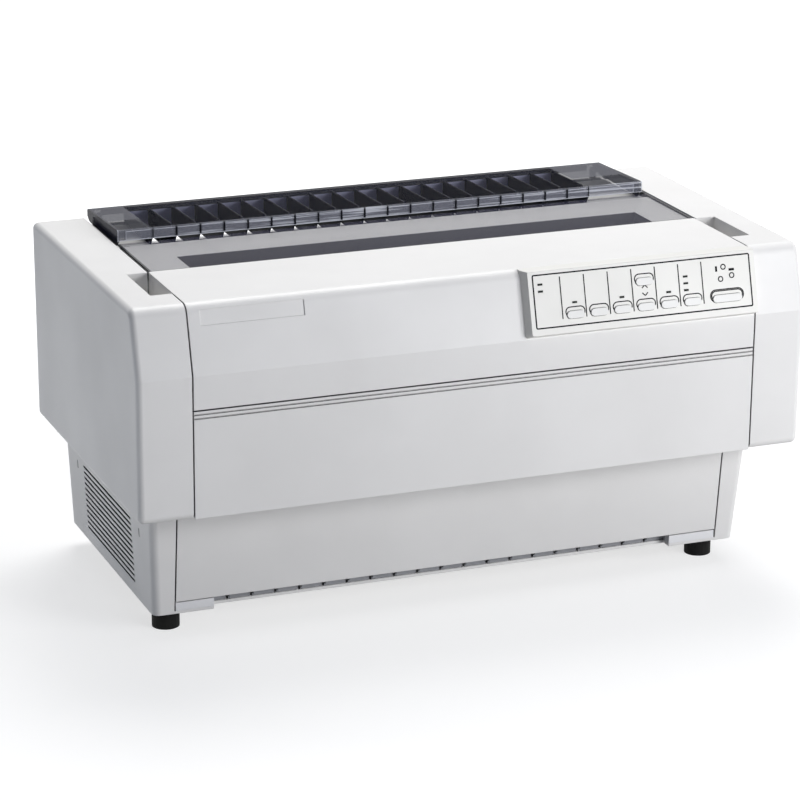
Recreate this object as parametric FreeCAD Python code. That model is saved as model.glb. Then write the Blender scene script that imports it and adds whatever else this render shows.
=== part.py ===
import FreeCAD, Part
import math
import os

# Wide dot matrix printer: hinged top cover with the control panel, smoke rear cover,
# fold-down front door, and the print and paper feed mechanism between two steel frames.
# Millimetres. X to the right, Y to the back, Z up. The origin is on the floor under the middle.

V = FreeCAD.Vector

# Heights of the case, from the floor up
base_underside = 25.0
base_height = 123.0
door_height = 109.0
brow_height = 34.0
facet_rise = 66.0
rear_cover_rise = 12.0

# Widths and depths of the case
between_cheeks = 590.0
cheek_width = 55.0
facet_setback = 18.0
strip_depth = 124.5
deck_depth = 118.1
rear_cover_depth = 113.5

# Moulded walls, the seams between them, and how far a cutter runs past what it cuts
wall = 3.0
seam = 1.5
overrun = 5.0

# Upper case and its side covers
cheek_edge_radius = 6.0
cheek_foot_radius = 7.0
crease_radius = 2.0
facet_edge_radius = 12.0
deck_back_radius = 7.0
door_tuck = 3.0
cheek_rib_thickness = 2.0
cheek_rib_depth = 14.0
cheek_rib_count = 4
grip_width = 21.0
grip_depth = 34.0
grip_front_gap = 42.5
grip_back_gap = 2.0

# Base housing, narrower than the upper case and tapered towards the floor
base_top_inset = 27.0
base_foot_inset = 33.0
base_corner_radius = 8.0
base_front_top = 56.0
base_front_foot = 72.0
stile_return = 30.0
vent_height = 2.6
vent_pitch = 6.1
vent_front_gap = 60.1
vent_back_gap = 67.0
vent_floor_gap = 14.5
vent_top_gap = 36.0
side_slot_length = 9.0
side_slot_width = 2.5
side_slot_floor_gap = 73.5
side_slot_front_gap = 30.0
side_slot_back_gap = 22.0
side_hole_size = 3.0
side_hole_drop = 19.0
side_hole_setback = 8.0
rear_vent_count = 9
rear_vent_pitch = 12.0
rear_vent_width = 3.0
rear_vent_height = 60.0
rear_vent_middle_x = -150.0
rear_vent_floor_gap = 23.0

# Feet
foot_radius = 14.0
foot_sides = 24
foot_side_inset = 23.0
rear_foot_side_inset = 45.0
foot_front_inset = 36.1
foot_back_inset = 41.0

# Lower front panel with the sill that carries the door
panel_floor_gap = 13.0
panel_bend_radius = 3.0
sill_reach = 44.0
sill_lip_height = 5.0
door_lug_width = 4.0
door_lug_radius = 3.6

# Ribbed paper guide behind the lower front panel
paper_guide_gap = 9.0
paper_guide_thickness = 2.5
paper_guide_top_gap = 8.0
guide_rib_pitch = 25.4
guide_rib_width = 2.0
guide_rib_depth = 4.0
guide_rib_foot_gap = 6.0
guide_rib_top_gap = 48.0
guide_notch_width = 2.4
guide_notch_height = 4.5
guide_middle_x = -6.0
guide_end_room = 60.0
guide_end_margin = 20.0
entry_clearance = 1.5

# Front door
door_groove_count = 2
door_groove_pitch = 4.0
door_groove_width = 1.5
door_groove_depth = 1.8
door_return_depth = 13.0
door_top_flange = 6.0
door_lug_gap = 0.6
door_pin_radius = 2.0
pin_clearance = 0.08

# Front cover with its window frame
cover_skirt_depth = 34.0
cover_flange = 12.0
cover_rib_count = 3
cover_rib_depth = 8.0
cover_rib_thickness = 2.0
hinge_lip_gap = 9.5
hinge_drop = 7.0
hinge_pin_radius = 2.5
hinge_eye_radius = 3.8
hinge_arm_width = 6.0
smoke_thickness = 1.5
window_frame_thickness = 1.8
smoke_edge_gap = 3.0
window_end_gap = 45.0
window_depth = 50.0
collar_depth = 18.0
badge_left_gap = 12.0
badge_length = 104.0
badge_height = 15.0
badge_depth = 0.8
badge_top_gap = 6.0
cable_slot_length = 60.0
cable_slot_height = 14.0

# Control panel, measured on the sloping upper facet: from its left end, up the facet, and out
panel_length = 249.25
panel_root = 6.0
panel_flare = 4.0
panel_proud = 9.0
panel_lift = 3.0
panel_corner_radius = 3.0
panel_face_thickness = 2.5
panel_side_thickness = 4.0
button_count = 6
button_first_gap = 51.5
button_row_rise = 20.5
button_upper_rise = 45.5
buttons_before_upper_count = 3
button_pitch = 25.4
button_length = 18.5
button_height = 7.5
button_end_sides = 6
wide_button_gap = 216.5
wide_button_length = 32.0
button_proud = 1.4
button_travel = 1.0
button_gap = 0.35
button_flange = 1.2
button_flange_thickness = 1.0
keypad_gap = 0.3
circuit_thickness = 1.6
circuit_margin = 1.0
light_length = 5.0
light_height = 2.0
light_proud = 0.3
power_light_gap = 16.5
power_light_rise = 53.0
light_step = 6.8
row_light_rise = 32.5
mode_light_gap = 172.5
mode_light_count = 3

# Smoke rear cover with its fins
rear_cover_thickness = 2.0
rear_cover_fall = 4.0
rear_cover_side_gap = 4.5
rear_wall_foot = 8.0
end_wall_drop = 6.0
end_block_length = 9.0
rear_hinge_inset = 9.0
rear_hinge_rise = 1.0
rear_pin_radius = 2.0
rear_lug_radius = 4.0
rear_lug_width = 4.0
rear_lug_inset = 10.5
fin_pitch = 25.4
fin_right_room = 61.9
fin_left_room = 30.0
fin_thickness = 1.6
fin_back_inset = 13.0
fin_bottom_drop = 21.0
fin_front_gap = 17.0
fin_web_height = 4.0
post_depth = 4.0
fin_bar_thickness = 1.6

# Upper rear housing
rear_top_drop = 9.0
end_plate_drop = 7.0
end_plate_back_gap = 20.0
exit_drop = 35.0
exit_height = 13.0
rear_entry_drop = 76.0
rear_entry_height = 12.0
paper_side_gap = 60.0
end_plate_thickness = 2.5
rear_return_depth = 24.0

# Steel chassis and side frames
chassis_thickness = 2.0
chassis_side_gap = 20.0
chassis_front_gap = 22.1
chassis_back_gap = 15.0
frame_side_gap = 17.0
frame_thickness = 2.0
frame_nose_gap = 17.1
frame_step_gap = 24.1
frame_brow_drop = 95.0
frame_top_drop = 39.0
frame_window_radius = 10.0
frame_window_floor_gap = 30.0
hinge_ear_foot = 11.4
frame_window_margin = 28.6
frame_window_count = 3
frame_foot_width = 12.0
eye_clearance = 0.08

# Platen and its drive
platen_setback = 32.6
platen_drop = 75.0
platen_radius = 22.0
platen_end_gap = 63.0
platen_shaft_radius = 6.0
shaft_clearance = 0.08
gear_module = 2.0
platen_teeth = 30
pinion_teeth = 12
gear_width = 5.0
gear_offset = 2.5
tooth_tip_share = 0.11
tooth_root_share = 0.28
tooth_addendum = 1.8
tooth_dedendum = 2.4
feed_motor_angle = -50.0
feed_motor_radius = 24.0
feed_motor_length = 48.0
motor_can_sides = 20
motor_boss_sides = 12
motor_shaft_radius = 3.0
motor_boss_radius = 8.0
motor_boss_height = 1.5
pulley_radius = 13.0
pulley_sides = 20
pulley_width = 4.0
pulley_flange = 1.5
pulley_offset = 3.0
belt_thickness = 1.2
belt_gap = 0.3
belt_end_sides = 12

# Tractors and their shafts
front_tractor_setback = 45.1
front_tractor_rise = 27.0
rear_tractor_inset = 71.0
rear_tractor_drop = 20.0
tractor_span = 36.0
tractor_radius = 13.0
tractor_end_sides = 6
tractor_plate = 10.0
tractor_belt_width = 8.0
tractor_pin_side = 2.8
tractor_pin_tip_side = 1.6
tractor_pin_height = 2.0
tractor_pin_pitch = 12.7
drive_shaft_side = 7.0
journal_radius = 5.0
support_rod_radius = 4.0
support_rod_sides = 12
tractor_home_gap = 63.0
lid_thickness = 2.0
lid_gap = 2.4
lid_slot_width = 5.0
lid_hinge_radius = 1.8
lid_pin_radius = 1.0
lid_knuckle_sides = 8
lid_ear_length = 5.0

# Paper guides inside
sheet_thickness = 2.0
front_guide_side_gap = 52.0
front_guide_drop = 56.0
front_guide_tractor_gap = 5.0
front_guide_bend_reach = 40.0
front_guide_end_reach = 27.0
front_guide_end_drop = 28.0
guide_bend_radius = 12.0
rear_guide_front_reach = 32.0
rear_guide_front_rise = 14.0
rear_guide_bend_reach = 70.0
rear_guide_exit_drop = 4.0
rear_guide_end_gap = 4.0
guide_side_gap = 0.3

# Print carriage, set out from its guide shaft
guide_shaft_reach = 62.0
guide_shaft_drop = 20.0
guide_shaft_radius = 8.0
carriage_home_gap = 87.0
carriage_width = 64.0
carriage_front_reach = 32.0
carriage_back_reach = 20.0
carriage_bottom_drop = 20.0
carriage_deck_drop = 6.0
carriage_boss_radius = 13.0
head_width = 46.0
head_front_reach = 28.0
head_bottom_rise = 6.0
head_top_rise = 44.0
head_fin_count = 7
head_fin_thickness = 2.5
head_fin_depth = 7.0
nose_gap = 3.6
nose_width = 16.0
nose_height = 10.0

# Carriage drive
drive_pulley_end_gap = 26.0
drive_pulley_reach = 18.0
drive_pulley_drop = 30.0
drive_pulley_radius = 12.0
drive_pulley_height = 6.0
drive_belt_height = 4.0
carriage_motor_radius = 22.0
carriage_motor_height = 50.0
bracket_drop = 10.0
bracket_thickness = 2.0
bracket_width = 50.0
bracket_length = 48.0
clamp_width = 16.0
clamp_thickness = 3.0

# Ribbon cartridge
cartridge_end_gap = 32.0
cartridge_front_gap = 19.1
cartridge_carriage_gap = 16.0
cartridge_bottom_drop = 18.0
cartridge_top_rise = 12.0
cartridge_radius = 8.0
cartridge_arm_width = 14.0
cartridge_knob_radius = 11.0
cartridge_knob_height = 8.0
cartridge_knob_inset = 42.0
cartridge_tab_width = 20.0
ribbon_height = 12.7
ribbon_thickness = 0.5
ribbon_gap = 1.8

# Electrics in the base
supply_frame_gap = 28.0
supply_length = 190.0
supply_back_gap = 16.0
supply_depth = 140.0
supply_height = 78.0
supply_slot_count = 6
supply_slot_width = 4.0
supply_slot_margin = 20.0
board_frame_gap = 20.0
board_supply_gap = 20.0
board_front_gap = 36.0
standoff_height = 7.0
standoff_side = 6.0
board_inset = 10.0
fan_size = 80.0
fan_corner = 5.0
fan_thickness = 25.0
fan_wall_gap = 1.0
fan_vent_offset = 8.0
fan_bore_radius = 34.5
fan_blade_radius = 32.5
fan_hub_radius = 14.0
fan_hub_sides = 12
fan_bore_sides = 24
fan_blade_count = 7
fan_blade_thickness = 1.6
fan_blade_angle = 35.0
fan_strut_count = 3
fan_strut_width = 5.0
fan_strut_thickness = 3.0
fan_pin_radius = 2.0

# Sockets and switch in the back wall of the base
socket_floor_gap = 41.0
inlet_x = 235.0
inlet_width = 27.0
inlet_height = 20.0
inlet_flange = 5.0
inlet_body_depth = 22.0
inlet_pin_width = 2.0
inlet_pin_height = 6.0
inlet_pin_spread = 7.0
switch_x = 190.0
switch_width = 18.0
switch_height = 26.0
switch_depth = 12.0
switch_sink = 2.2
switch_gap = 0.3
switch_tilt = 8.0
parallel_x = 80.0
parallel_length = 66.0
parallel_height = 15.0
serial_x = 0.0
serial_length = 40.0
serial_height = 12.0
port_depth = 9.0
port_shell = 1.5
port_tongue_inset = 4.5

# Levels that follow from the heights
shoulder_z = base_underside + base_height
split_z = shoulder_z + door_height
crease_z = split_z + brow_height
deck_z = crease_z + facet_rise
height = deck_z + rear_cover_rise
floor_z = base_underside + wall
chassis_top_z = floor_z + chassis_thickness
sill_z = shoulder_z + sill_lip_height
door_pin_z = sill_z
hinge_z = deck_z - hinge_drop
rear_hinge_z = deck_z + rear_hinge_rise
platen_z = deck_z - platen_drop
guide_shaft_z = platen_z - guide_shaft_drop
drive_pulley_z = guide_shaft_z - drive_pulley_drop
bracket_z = drive_pulley_z - bracket_drop
front_tractor_z = sill_z + front_tractor_rise
rear_tractor_z = platen_z - rear_tractor_drop
socket_z = base_underside + socket_floor_gap
rear_top_z = deck_z - rear_top_drop
exit_z = deck_z - exit_drop
rear_entry_z = deck_z - rear_entry_drop

# Places across the width
gap_x = between_cheeks / 2
half_width = gap_x + cheek_width
cheek_inner_x = gap_x + seam / 2
cover_half = gap_x - seam / 2
base_top_half = half_width - base_top_inset
base_foot_half = half_width - base_foot_inset
window_half = gap_x - window_end_gap
rear_cover_half = gap_x - rear_cover_side_gap
rear_lug_x = rear_cover_half - rear_lug_inset
panel_left = cover_half - panel_length
chassis_half_width = base_foot_half - wall - chassis_side_gap
frame_x = gap_x - frame_side_gap
frame_outer = frame_x + frame_thickness
drive_pulley_x = frame_x - drive_pulley_end_gap
carriage_home_x = carriage_home_gap - drive_pulley_x
cartridge_half = frame_x - cartridge_end_gap
supply_right = frame_x - supply_frame_gap
supply_left = supply_right - supply_length
fan_x = wall + fan_wall_gap + fan_thickness - base_foot_half
fin_count = int((2 * rear_cover_half - fin_right_room - fin_left_room) / fin_pitch) + 1
fin_right_x = rear_cover_half - fin_right_room
fin_left_x = fin_right_x - fin_pitch * (fin_count - 1)
guide_rib_count = int(2 * (cover_half - guide_end_room) / guide_rib_pitch) + 1
guide_half_span = guide_rib_pitch * (guide_rib_count - 1) / 2
guide_left_x = guide_middle_x - guide_half_span - guide_end_margin
guide_right_x = guide_middle_x + guide_half_span + guide_end_margin

# Places from front to back
facet_tilt = math.atan2(facet_setback, facet_rise)
facet_length = math.hypot(facet_setback, facet_rise)
panel_overhang = panel_proud * math.cos(facet_tilt) - panel_lift * math.sin(facet_tilt)
depth = panel_overhang + facet_setback + strip_depth + deck_depth + rear_cover_depth
back_y = depth / 2
crease_y = panel_overhang - back_y
facet_top_y = crease_y + facet_setback
strip_back_y = facet_top_y + strip_depth
lip_y = strip_back_y + deck_depth
door_foot_y = crease_y + door_tuck
door_pin_y = door_foot_y + wall + door_lug_gap + door_lug_radius
base_front_top_y = door_foot_y + base_front_top
base_front_foot_y = door_foot_y + base_front_foot
base_slope = (base_front_foot_y - base_front_top_y) / base_height
vent_y = (base_front_foot_y + vent_front_gap, back_y - vent_back_gap)
chassis_y = (base_front_foot_y + chassis_front_gap, back_y - chassis_back_gap)
frame_step_y = base_front_foot_y + frame_step_gap
hinge_y = lip_y - hinge_lip_gap
rear_hinge_y = back_y - rear_hinge_inset
platen_y = strip_back_y + platen_setback
guide_shaft_y = platen_y - guide_shaft_reach
carriage_y = (guide_shaft_y - carriage_front_reach, guide_shaft_y + carriage_back_reach)
drive_pulley_y = guide_shaft_y - drive_pulley_reach
front_tractor_y = crease_y + front_tractor_setback
rear_tractor_y = back_y - rear_tractor_inset
fan_y = (vent_y[0] + vent_y[1]) / 2 - fan_vent_offset

# The platen gear and its pinion, left of the left frame, and the belts right of the right one
gear_distance = gear_module * (platen_teeth + pinion_teeth) / 2
feed_motor_turn = math.radians(feed_motor_angle)
pinion_y = platen_y + gear_distance * math.cos(feed_motor_turn)
pinion_z = platen_z + gear_distance * math.sin(feed_motor_turn)
gear_x = (-frame_outer - gear_offset - gear_width, -frame_outer - gear_offset)
front_pulley_x = (frame_outer + pulley_offset, frame_outer + pulley_offset + pulley_width)
rear_pulley_x = (front_pulley_x[1] + pulley_flange, front_pulley_x[1] + pulley_flange + pulley_width)


def in_yz(a, b):
    return V(0, a, b)


def in_xy(a, b):
    return V(a, b, 0)


def in_xz(a, b):
    return V(a, 0, b)


def outline(corners, point=in_yz):
    """Closed wire through corners (a, b, radius), where each radius is a tangent arc."""
    places = [point(corner[0], corner[1]) for corner in corners]
    arcs = []
    for i, corner in enumerate(corners):
        radius = corner[2]
        here = places[i]
        if radius <= 0:
            arcs.append((here, None, here))
            continue
        back = (places[i - 1] - here).normalize()
        ahead = (places[(i + 1) % len(places)] - here).normalize()
        half = back.getAngle(ahead) / 2
        run = radius / math.tan(half)
        middle = here + (back + ahead).normalize() * (radius / math.sin(half) - radius)
        arcs.append((here + back * run, middle, here + ahead * run))
    edges = []
    for i, (start, middle, end) in enumerate(arcs):
        if middle:
            edges.append(Part.Arc(start, middle, end).toShape())
        following = arcs[(i + 1) % len(arcs)][0]
        if not end.isEqual(following, seam / half_width):
            edges.append(Part.LineSegment(end, following).toShape())
    return Part.Wire(edges)


def extrude_x(corners, x):
    """Solid with the YZ outline given by corners, between the two X values."""
    face = Part.Face(outline(corners))
    face.translate(V(x[0], 0, 0))
    return face.extrude(V(x[1] - x[0], 0, 0))


def extrude_z(corners, z):
    """Solid with the XY outline given by corners, between the two Z values."""
    face = Part.Face(outline(corners, in_xy))
    face.translate(V(0, 0, z[0]))
    return face.extrude(V(0, 0, z[1] - z[0]))


def square(points):
    """Corners without a radius."""
    return [(a, b, 0) for a, b in points]


def box(x, y, z):
    return Part.makeBox(x[1] - x[0], y[1] - y[0], z[1] - z[0], V(x[0], y[0], z[0]))


def rod_x(radius, x, y, z):
    return Part.makeCylinder(radius, x[1] - x[0], V(x[0], y, z), V(1, 0, 0))


def rod_z(radius, x, y, z):
    return Part.makeCylinder(radius, z[1] - z[0], V(x, y, z[0]), V(0, 0, 1))


def faceted(radius, a, b, sides):
    """Corners of a regular outline around a and b."""
    turns = [2 * math.pi * i / sides for i in range(sides)]
    return square([(a + radius * math.cos(turn), b + radius * math.sin(turn)) for turn in turns])


def rounded_bar(first, second, radius, sides):
    """Corners of a long bar about two axes, each of its ends turned in that many sides."""
    run = math.atan2(second[1] - first[1], second[0] - first[0])
    corners = []
    for centre, start in ((second, run - math.pi / 2), (first, run + math.pi / 2)):
        turns = [start + math.pi * i / sides for i in range(sides + 1)]
        corners += [(centre[0] + radius * math.cos(turn), centre[1] + radius * math.sin(turn))
                    for turn in turns]
    return square(corners)


def middle_span(middle, length):
    """Low and high end of a length about its middle."""
    return (middle - length / 2, middle + length / 2)


def widened(span, margin):
    return (span[0] - margin, span[1] + margin)


def on_side(side, near, far):
    """X span between two distances from the middle plane, on the side -1 or 1."""
    return tuple(sorted((side * near, side * far)))


def join(shapes):
    """One solid from shapes that meet."""
    shapes = list(shapes)
    whole = shapes[0].fuse(shapes[1:]) if len(shapes) > 1 else shapes[0]
    return whole.removeSplitter()


def cut(shape, tools):
    return shape.cut(list(tools))


def mirrored(shape):
    """The same piece on the other side of the printer."""
    return shape.mirror(V(0, 0, 0), V(1, 0, 0))


def rounded_rectangle(a, b, radius):
    return [(a[0], b[0], radius), (a[1], b[0], radius), (a[1], b[1], radius), (a[0], b[1], radius)]


def chamfered_rectangle(a, b, corner):
    """Corners of a rectangle whose four corners are cut off."""
    return square([(a[0] + corner, b[0]), (a[1] - corner, b[0]), (a[1], b[0] + corner),
                   (a[1], b[1] - corner), (a[1] - corner, b[1]), (a[0] + corner, b[1]),
                   (a[0], b[1] - corner), (a[0], b[0] + corner)])


def bent_sheet(points, thickness, radius, x):
    """Sheet along points in YZ, laid to the left of their direction, with rounded bends."""
    path = [V(0, y, z) for y, z in points]
    normals = []
    for first, second in zip(path, path[1:]):
        run = (second - first).normalize()
        normals.append(V(0, -run.z, run.y))
    near = []
    far = []
    for i, place in enumerate(path):
        before = normals[max(i - 1, 0)]
        after = normals[min(i, len(normals) - 1)]
        moved = place + (before + after) * (thickness / (1 + before.dot(after)))
        at_end = i in (0, len(path) - 1)
        turn = before.y * after.z - before.z * after.y
        near_radius = 0 if at_end else radius + (thickness if turn > 0 else 0)
        far_radius = 0 if at_end else radius + (0 if turn > 0 else thickness)
        near.append((place.y, place.z, near_radius))
        far.append((moved.y, moved.z, far_radius))
    return extrude_x(near + far[::-1], x)


def on_facet(shape):
    """Move a shape from facet axes (along X, up the facet, out of it) to its place."""
    lean = 90 - math.degrees(facet_tilt)
    placed = shape.copy()
    turned = FreeCAD.Placement(V(0, crease_y, crease_z), FreeCAD.Rotation(V(1, 0, 0), lean))
    placed.Placement = turned.multiply(placed.Placement)
    return placed


def pill(x, rise, length, tall, out):
    """Bar with rounded ends on the facet, centred at x and rise, between two heights off it."""
    reach = (length - tall) / 2
    return extrude_z(rounded_bar((x - reach, rise), (x + reach, rise), tall / 2, button_end_sides), out)


def front_y_at(z):
    """Outer face of the lower front panel and the base front at height z."""
    return base_front_top_y + base_slope * (shoulder_z - z)


def case_face_y(z):
    """Outer face of the door and the cover below the crease at height z."""
    return crease_y + door_tuck * (crease_z - z) / (crease_z - shoulder_z)


def facet_corners(inset):
    """Crease and top edge of the sloping facet, moved inwards by inset."""
    top = deck_z - inset
    crease = crease_z - inset * math.tan(facet_tilt / 2)
    edge_y = crease_y + math.tan(facet_tilt) * (top - crease_z) + inset / math.cos(facet_tilt)
    return (crease_y + inset, crease, crease_radius), (edge_y, top, max(facet_edge_radius - inset, 0))


def upper_profile(inset):
    """Side outline of the upper case, moved inwards by inset."""
    crease, edge = facet_corners(inset)
    foot = shoulder_z + inset
    foot_radius_left = max(cheek_foot_radius - inset, 0)
    return [
        (case_face_y(foot) + inset, foot, foot_radius_left),
        (back_y - inset, foot, foot_radius_left),
        (back_y - inset, deck_z - inset, max(deck_back_radius - inset, 0)),
        edge,
        crease,
    ]


def side_cover():
    """Left side cover: a moulded shell, open inwards, with the grip well in its top."""
    shell = extrude_x(upper_profile(0), (-half_width, -cheek_inner_x))
    touch = seam / half_width
    rim = [edge for edge in shell.Edges
           if abs(edge.BoundBox.XMin + half_width) < touch and abs(edge.BoundBox.XMax + half_width) < touch]
    shell = shell.makeFillet(cheek_edge_radius, rim)
    shell = cut(shell, [extrude_x(upper_profile(wall), (wall - half_width, overrun - cheek_inner_x))])
    well_x = (-cheek_inner_x - grip_width, -cheek_inner_x)
    well_y = (facet_top_y + grip_front_gap, strip_back_y - grip_back_gap)
    well_z = deck_z - grip_depth
    tub = box((well_x[0] - wall, well_x[1]), widened(well_y, wall), (well_z - wall, deck_z - wall))
    well = box((well_x[0], well_x[1] + overrun), well_y, (well_z, deck_z + overrun))
    ribs = []
    first_y = crease_y + cheek_rib_depth + wall
    step = (back_y - first_y) / (cheek_rib_count + 1)
    for i in range(cheek_rib_count):
        rib_y = first_y + step * (i + 1)
        ribs.append(box((wall / 2 - half_width, wall + cheek_rib_depth - half_width),
                        (rib_y, rib_y + cheek_rib_thickness),
                        (shoulder_z + wall / 2, deck_z - wall / 2)))
    return cut(join([shell, tub] + ribs), [well])


def tapered_tub(inset, low, high):
    """Block inside the base's tapered outline, moved inwards by inset, between two heights."""
    widths = []
    for z in (low, high):
        share = (z - base_underside) / base_height
        widths.append(base_foot_half + share * (base_top_half - base_foot_half) - inset)
    plan = outline(square([(-widths[0], low), (widths[0], low),
                           (widths[1], high), (-widths[1], high)]), in_xz)
    across = Part.Face(plan).extrude(V(0, depth, 0))
    across.translate(V(0, -back_y, 0))
    along = extrude_x(square([(front_y_at(low) + inset, low), (back_y - inset, low),
                              (back_y - inset, high), (front_y_at(high) + inset, high)]),
                      (-half_width, half_width))
    block = across.common(along)
    upright = [edge for edge in block.Edges if edge.BoundBox.ZLength > (high - low) / 2]
    return block.makeFillet(base_corner_radius - inset, upright)


def socket_hole(x, long, tall):
    """Cutter for a rectangular hole through the back wall at the height of the sockets."""
    through = (back_y - wall - overrun, back_y + overrun)
    return box(middle_span(x, long), through, middle_span(socket_z, tall))


def base_housing():
    """Moulded lower case: a tapered tub with side vents, corner stiles and a paper slot."""
    shell = cut(tapered_tub(0, base_underside, shoulder_z),
                [tapered_tub(wall, floor_z, shoulder_z + overrun)])
    front_span = (base_front_top_y - overrun, base_front_foot_y + wall + overrun)
    mouth = box((-cheek_inner_x, cheek_inner_x), front_span, (floor_z, shoulder_z + overrun))
    stiles = []
    for side in (-1, 1):
        stiles.append(extrude_x(square([
            (front_y_at(floor_z) + wall / 2, floor_z),
            (front_y_at(floor_z) + stile_return, floor_z),
            (base_front_top_y + stile_return, shoulder_z),
            (base_front_top_y + wall / 2, shoulder_z)]),
            on_side(side, cheek_inner_x, cheek_inner_x + wall)))
    slot_back_y = front_y_at(floor_z) + wall + paper_guide_gap
    cuts = [box((guide_left_x, guide_right_x), (front_span[0], slot_back_y),
                widened((base_underside, floor_z), overrun))]
    across = (-half_width, half_width)
    vent_count = int((base_height - vent_floor_gap - vent_top_gap) / vent_pitch) + 1
    for i in range(vent_count):
        z = base_underside + vent_floor_gap + vent_pitch * i
        cuts.append(box(across, vent_y, (z, z + vent_height)))
    slot_z = base_underside + side_slot_floor_gap
    for y in (vent_y[0] - side_slot_front_gap, vent_y[1] + side_slot_back_gap):
        cuts.append(box(across, (y, y + side_slot_width), (slot_z, slot_z + side_slot_length)))
    cuts.append(box(across, middle_span(base_front_top_y + side_hole_setback, side_hole_size),
                    middle_span(shoulder_z - side_hole_drop, side_hole_size)))
    vent_z = base_underside + rear_vent_floor_gap
    for i in range(rear_vent_count):
        x = rear_vent_middle_x + rear_vent_pitch * (i - (rear_vent_count - 1) / 2)
        cuts.append(box(middle_span(x, rear_vent_width), (back_y - wall - overrun, back_y + overrun),
                        (vent_z, vent_z + rear_vent_height)))
    cuts.append(socket_hole(inlet_x, inlet_width, inlet_height))
    cuts.append(socket_hole(switch_x, switch_width + switch_gap * 2, switch_height + switch_gap * 2))
    cuts.append(socket_hole(parallel_x, parallel_length, parallel_height))
    cuts.append(socket_hole(serial_x, serial_length, serial_height))
    return cut(join([cut(shell, [mouth])] + stiles), cuts)


def rubber_feet():
    """Four round feet under the corners of the base."""
    rows = ((base_foot_half - foot_side_inset, base_front_foot_y + foot_front_inset),
            (base_foot_half - rear_foot_side_inset, back_y - foot_back_inset))
    z = (0, base_underside)
    return Part.makeCompound([extrude_z(faceted(foot_radius, side * spread, y, foot_sides), z)
                              for side in (-1, 1) for spread, y in rows])


def lower_front_panel():
    """Sloping front panel, with the sill above it that carries the door hinge."""
    sill_front_y = base_front_top_y - sill_reach
    bottom_z = base_underside + panel_floor_gap
    sheet = bent_sheet([(sill_front_y, sill_z - wall), (base_front_top_y, sill_z - wall),
                        (front_y_at(bottom_z), bottom_z)],
                       wall, panel_bend_radius, (-cover_half, cover_half))
    lugs = []
    holes = []
    lug_end = cover_half - wall - seam / 2
    for side in (-1, 1):
        lug_x = on_side(side, lug_end - door_lug_width, lug_end)
        lugs.append(rod_x(door_lug_radius, lug_x, door_pin_y, door_pin_z))
        lugs.append(box(lug_x, (door_pin_y, sill_front_y + overrun),
                        (sill_z - wall, door_pin_z + door_lug_radius)))
        holes.append(rod_x(door_pin_radius + pin_clearance, widened(lug_x, overrun), door_pin_y, door_pin_z))
    return cut(join([sheet] + lugs), holes)


def lower_paper_guide():
    """Ribbed guide plate behind the lower front panel, with end blocks and a notch by each rib."""
    offset = wall + paper_guide_gap + guide_rib_depth / 2
    top_z = shoulder_z - paper_guide_top_gap

    def plate_y(z):
        return front_y_at(z) + offset

    def leaning(z, y):
        """Outline along the lean of the plate, between two heights and two distances from it."""
        return square([(plate_y(z[0]) + y[0], z[0]), (plate_y(z[0]) + y[1], z[0]),
                       (plate_y(z[1]) + y[1], z[1]), (plate_y(z[1]) + y[0], z[1])])

    pieces = [extrude_x(leaning((floor_z, top_z), (0, paper_guide_thickness)), (-cover_half, cover_half))]
    notches = []
    rib_z = (base_underside + guide_rib_foot_gap, shoulder_z - guide_rib_top_gap)
    for i in range(guide_rib_count):
        x = guide_middle_x - guide_half_span + guide_rib_pitch * i
        rib_x = middle_span(x, guide_rib_width)
        pieces.append(extrude_x(leaning(rib_z, (-guide_rib_depth, paper_guide_thickness / 2)), rib_x))
        notches.append(box((rib_x[0] - guide_notch_width, rib_x[0]),
                           (plate_y(floor_z) - overrun, plate_y(floor_z) + overrun),
                           (floor_z - overrun, floor_z + guide_notch_height)))
    for ends in ((-cover_half, guide_left_x), (guide_right_x, cover_half)):
        pieces.append(box(ends, (front_y_at(floor_z), plate_y(floor_z) + paper_guide_thickness / 2),
                          (floor_z, base_underside + panel_floor_gap - entry_clearance)))
    return cut(join(pieces), notches)


def front_door():
    """Fold-down door: outer wall, side returns, top flange, grooves and hinge pins."""
    top_z = split_z - seam / 2
    top_y = case_face_y(top_z)
    return_y = top_y + wall + door_return_depth
    x = (-cover_half, cover_half)
    pieces = [
        extrude_x(square([(door_foot_y, shoulder_z), (door_foot_y + wall, shoulder_z),
                          (top_y + wall, top_z), (top_y, top_z)]), x),
        box(x, (top_y + wall / 2, top_y + wall + door_top_flange), (top_z - wall, top_z))]
    for side in (-1, 1):
        pieces.append(extrude_x(square([
            (door_foot_y + wall / 2, shoulder_z + seam),
            (door_pin_y, door_pin_z - door_lug_radius),
            (door_pin_y + door_lug_radius, door_pin_z),
            (return_y, sill_z + door_return_depth),
            (return_y, top_z - door_return_depth),
            (top_y + wall, top_z - wall / 2),
            (top_y + wall / 2, top_z - wall / 2)]), on_side(side, cover_half - wall, cover_half)))
        pin_x = on_side(side, cover_half - wall - seam / 2 - door_lug_width, cover_half - wall / 2)
        pieces.append(rod_x(door_pin_radius, pin_x, door_pin_y, door_pin_z))
    grooves = []
    for i in range(door_groove_count):
        z = split_z - door_groove_pitch * (i + 1)
        y = case_face_y(z)
        grooves.append(box(widened(x, overrun), (y - overrun, y + door_groove_depth),
                           middle_span(z, door_groove_width)))
    return cut(join(pieces), grooves)


def cover_section(inset, back, foot):
    """Side outline of the front cover between its foot and its back edge."""
    crease, edge = facet_corners(inset)
    return [(case_face_y(foot) + inset, foot, 0), crease, edge, (back, deck_z - inset, 0)]


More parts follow.
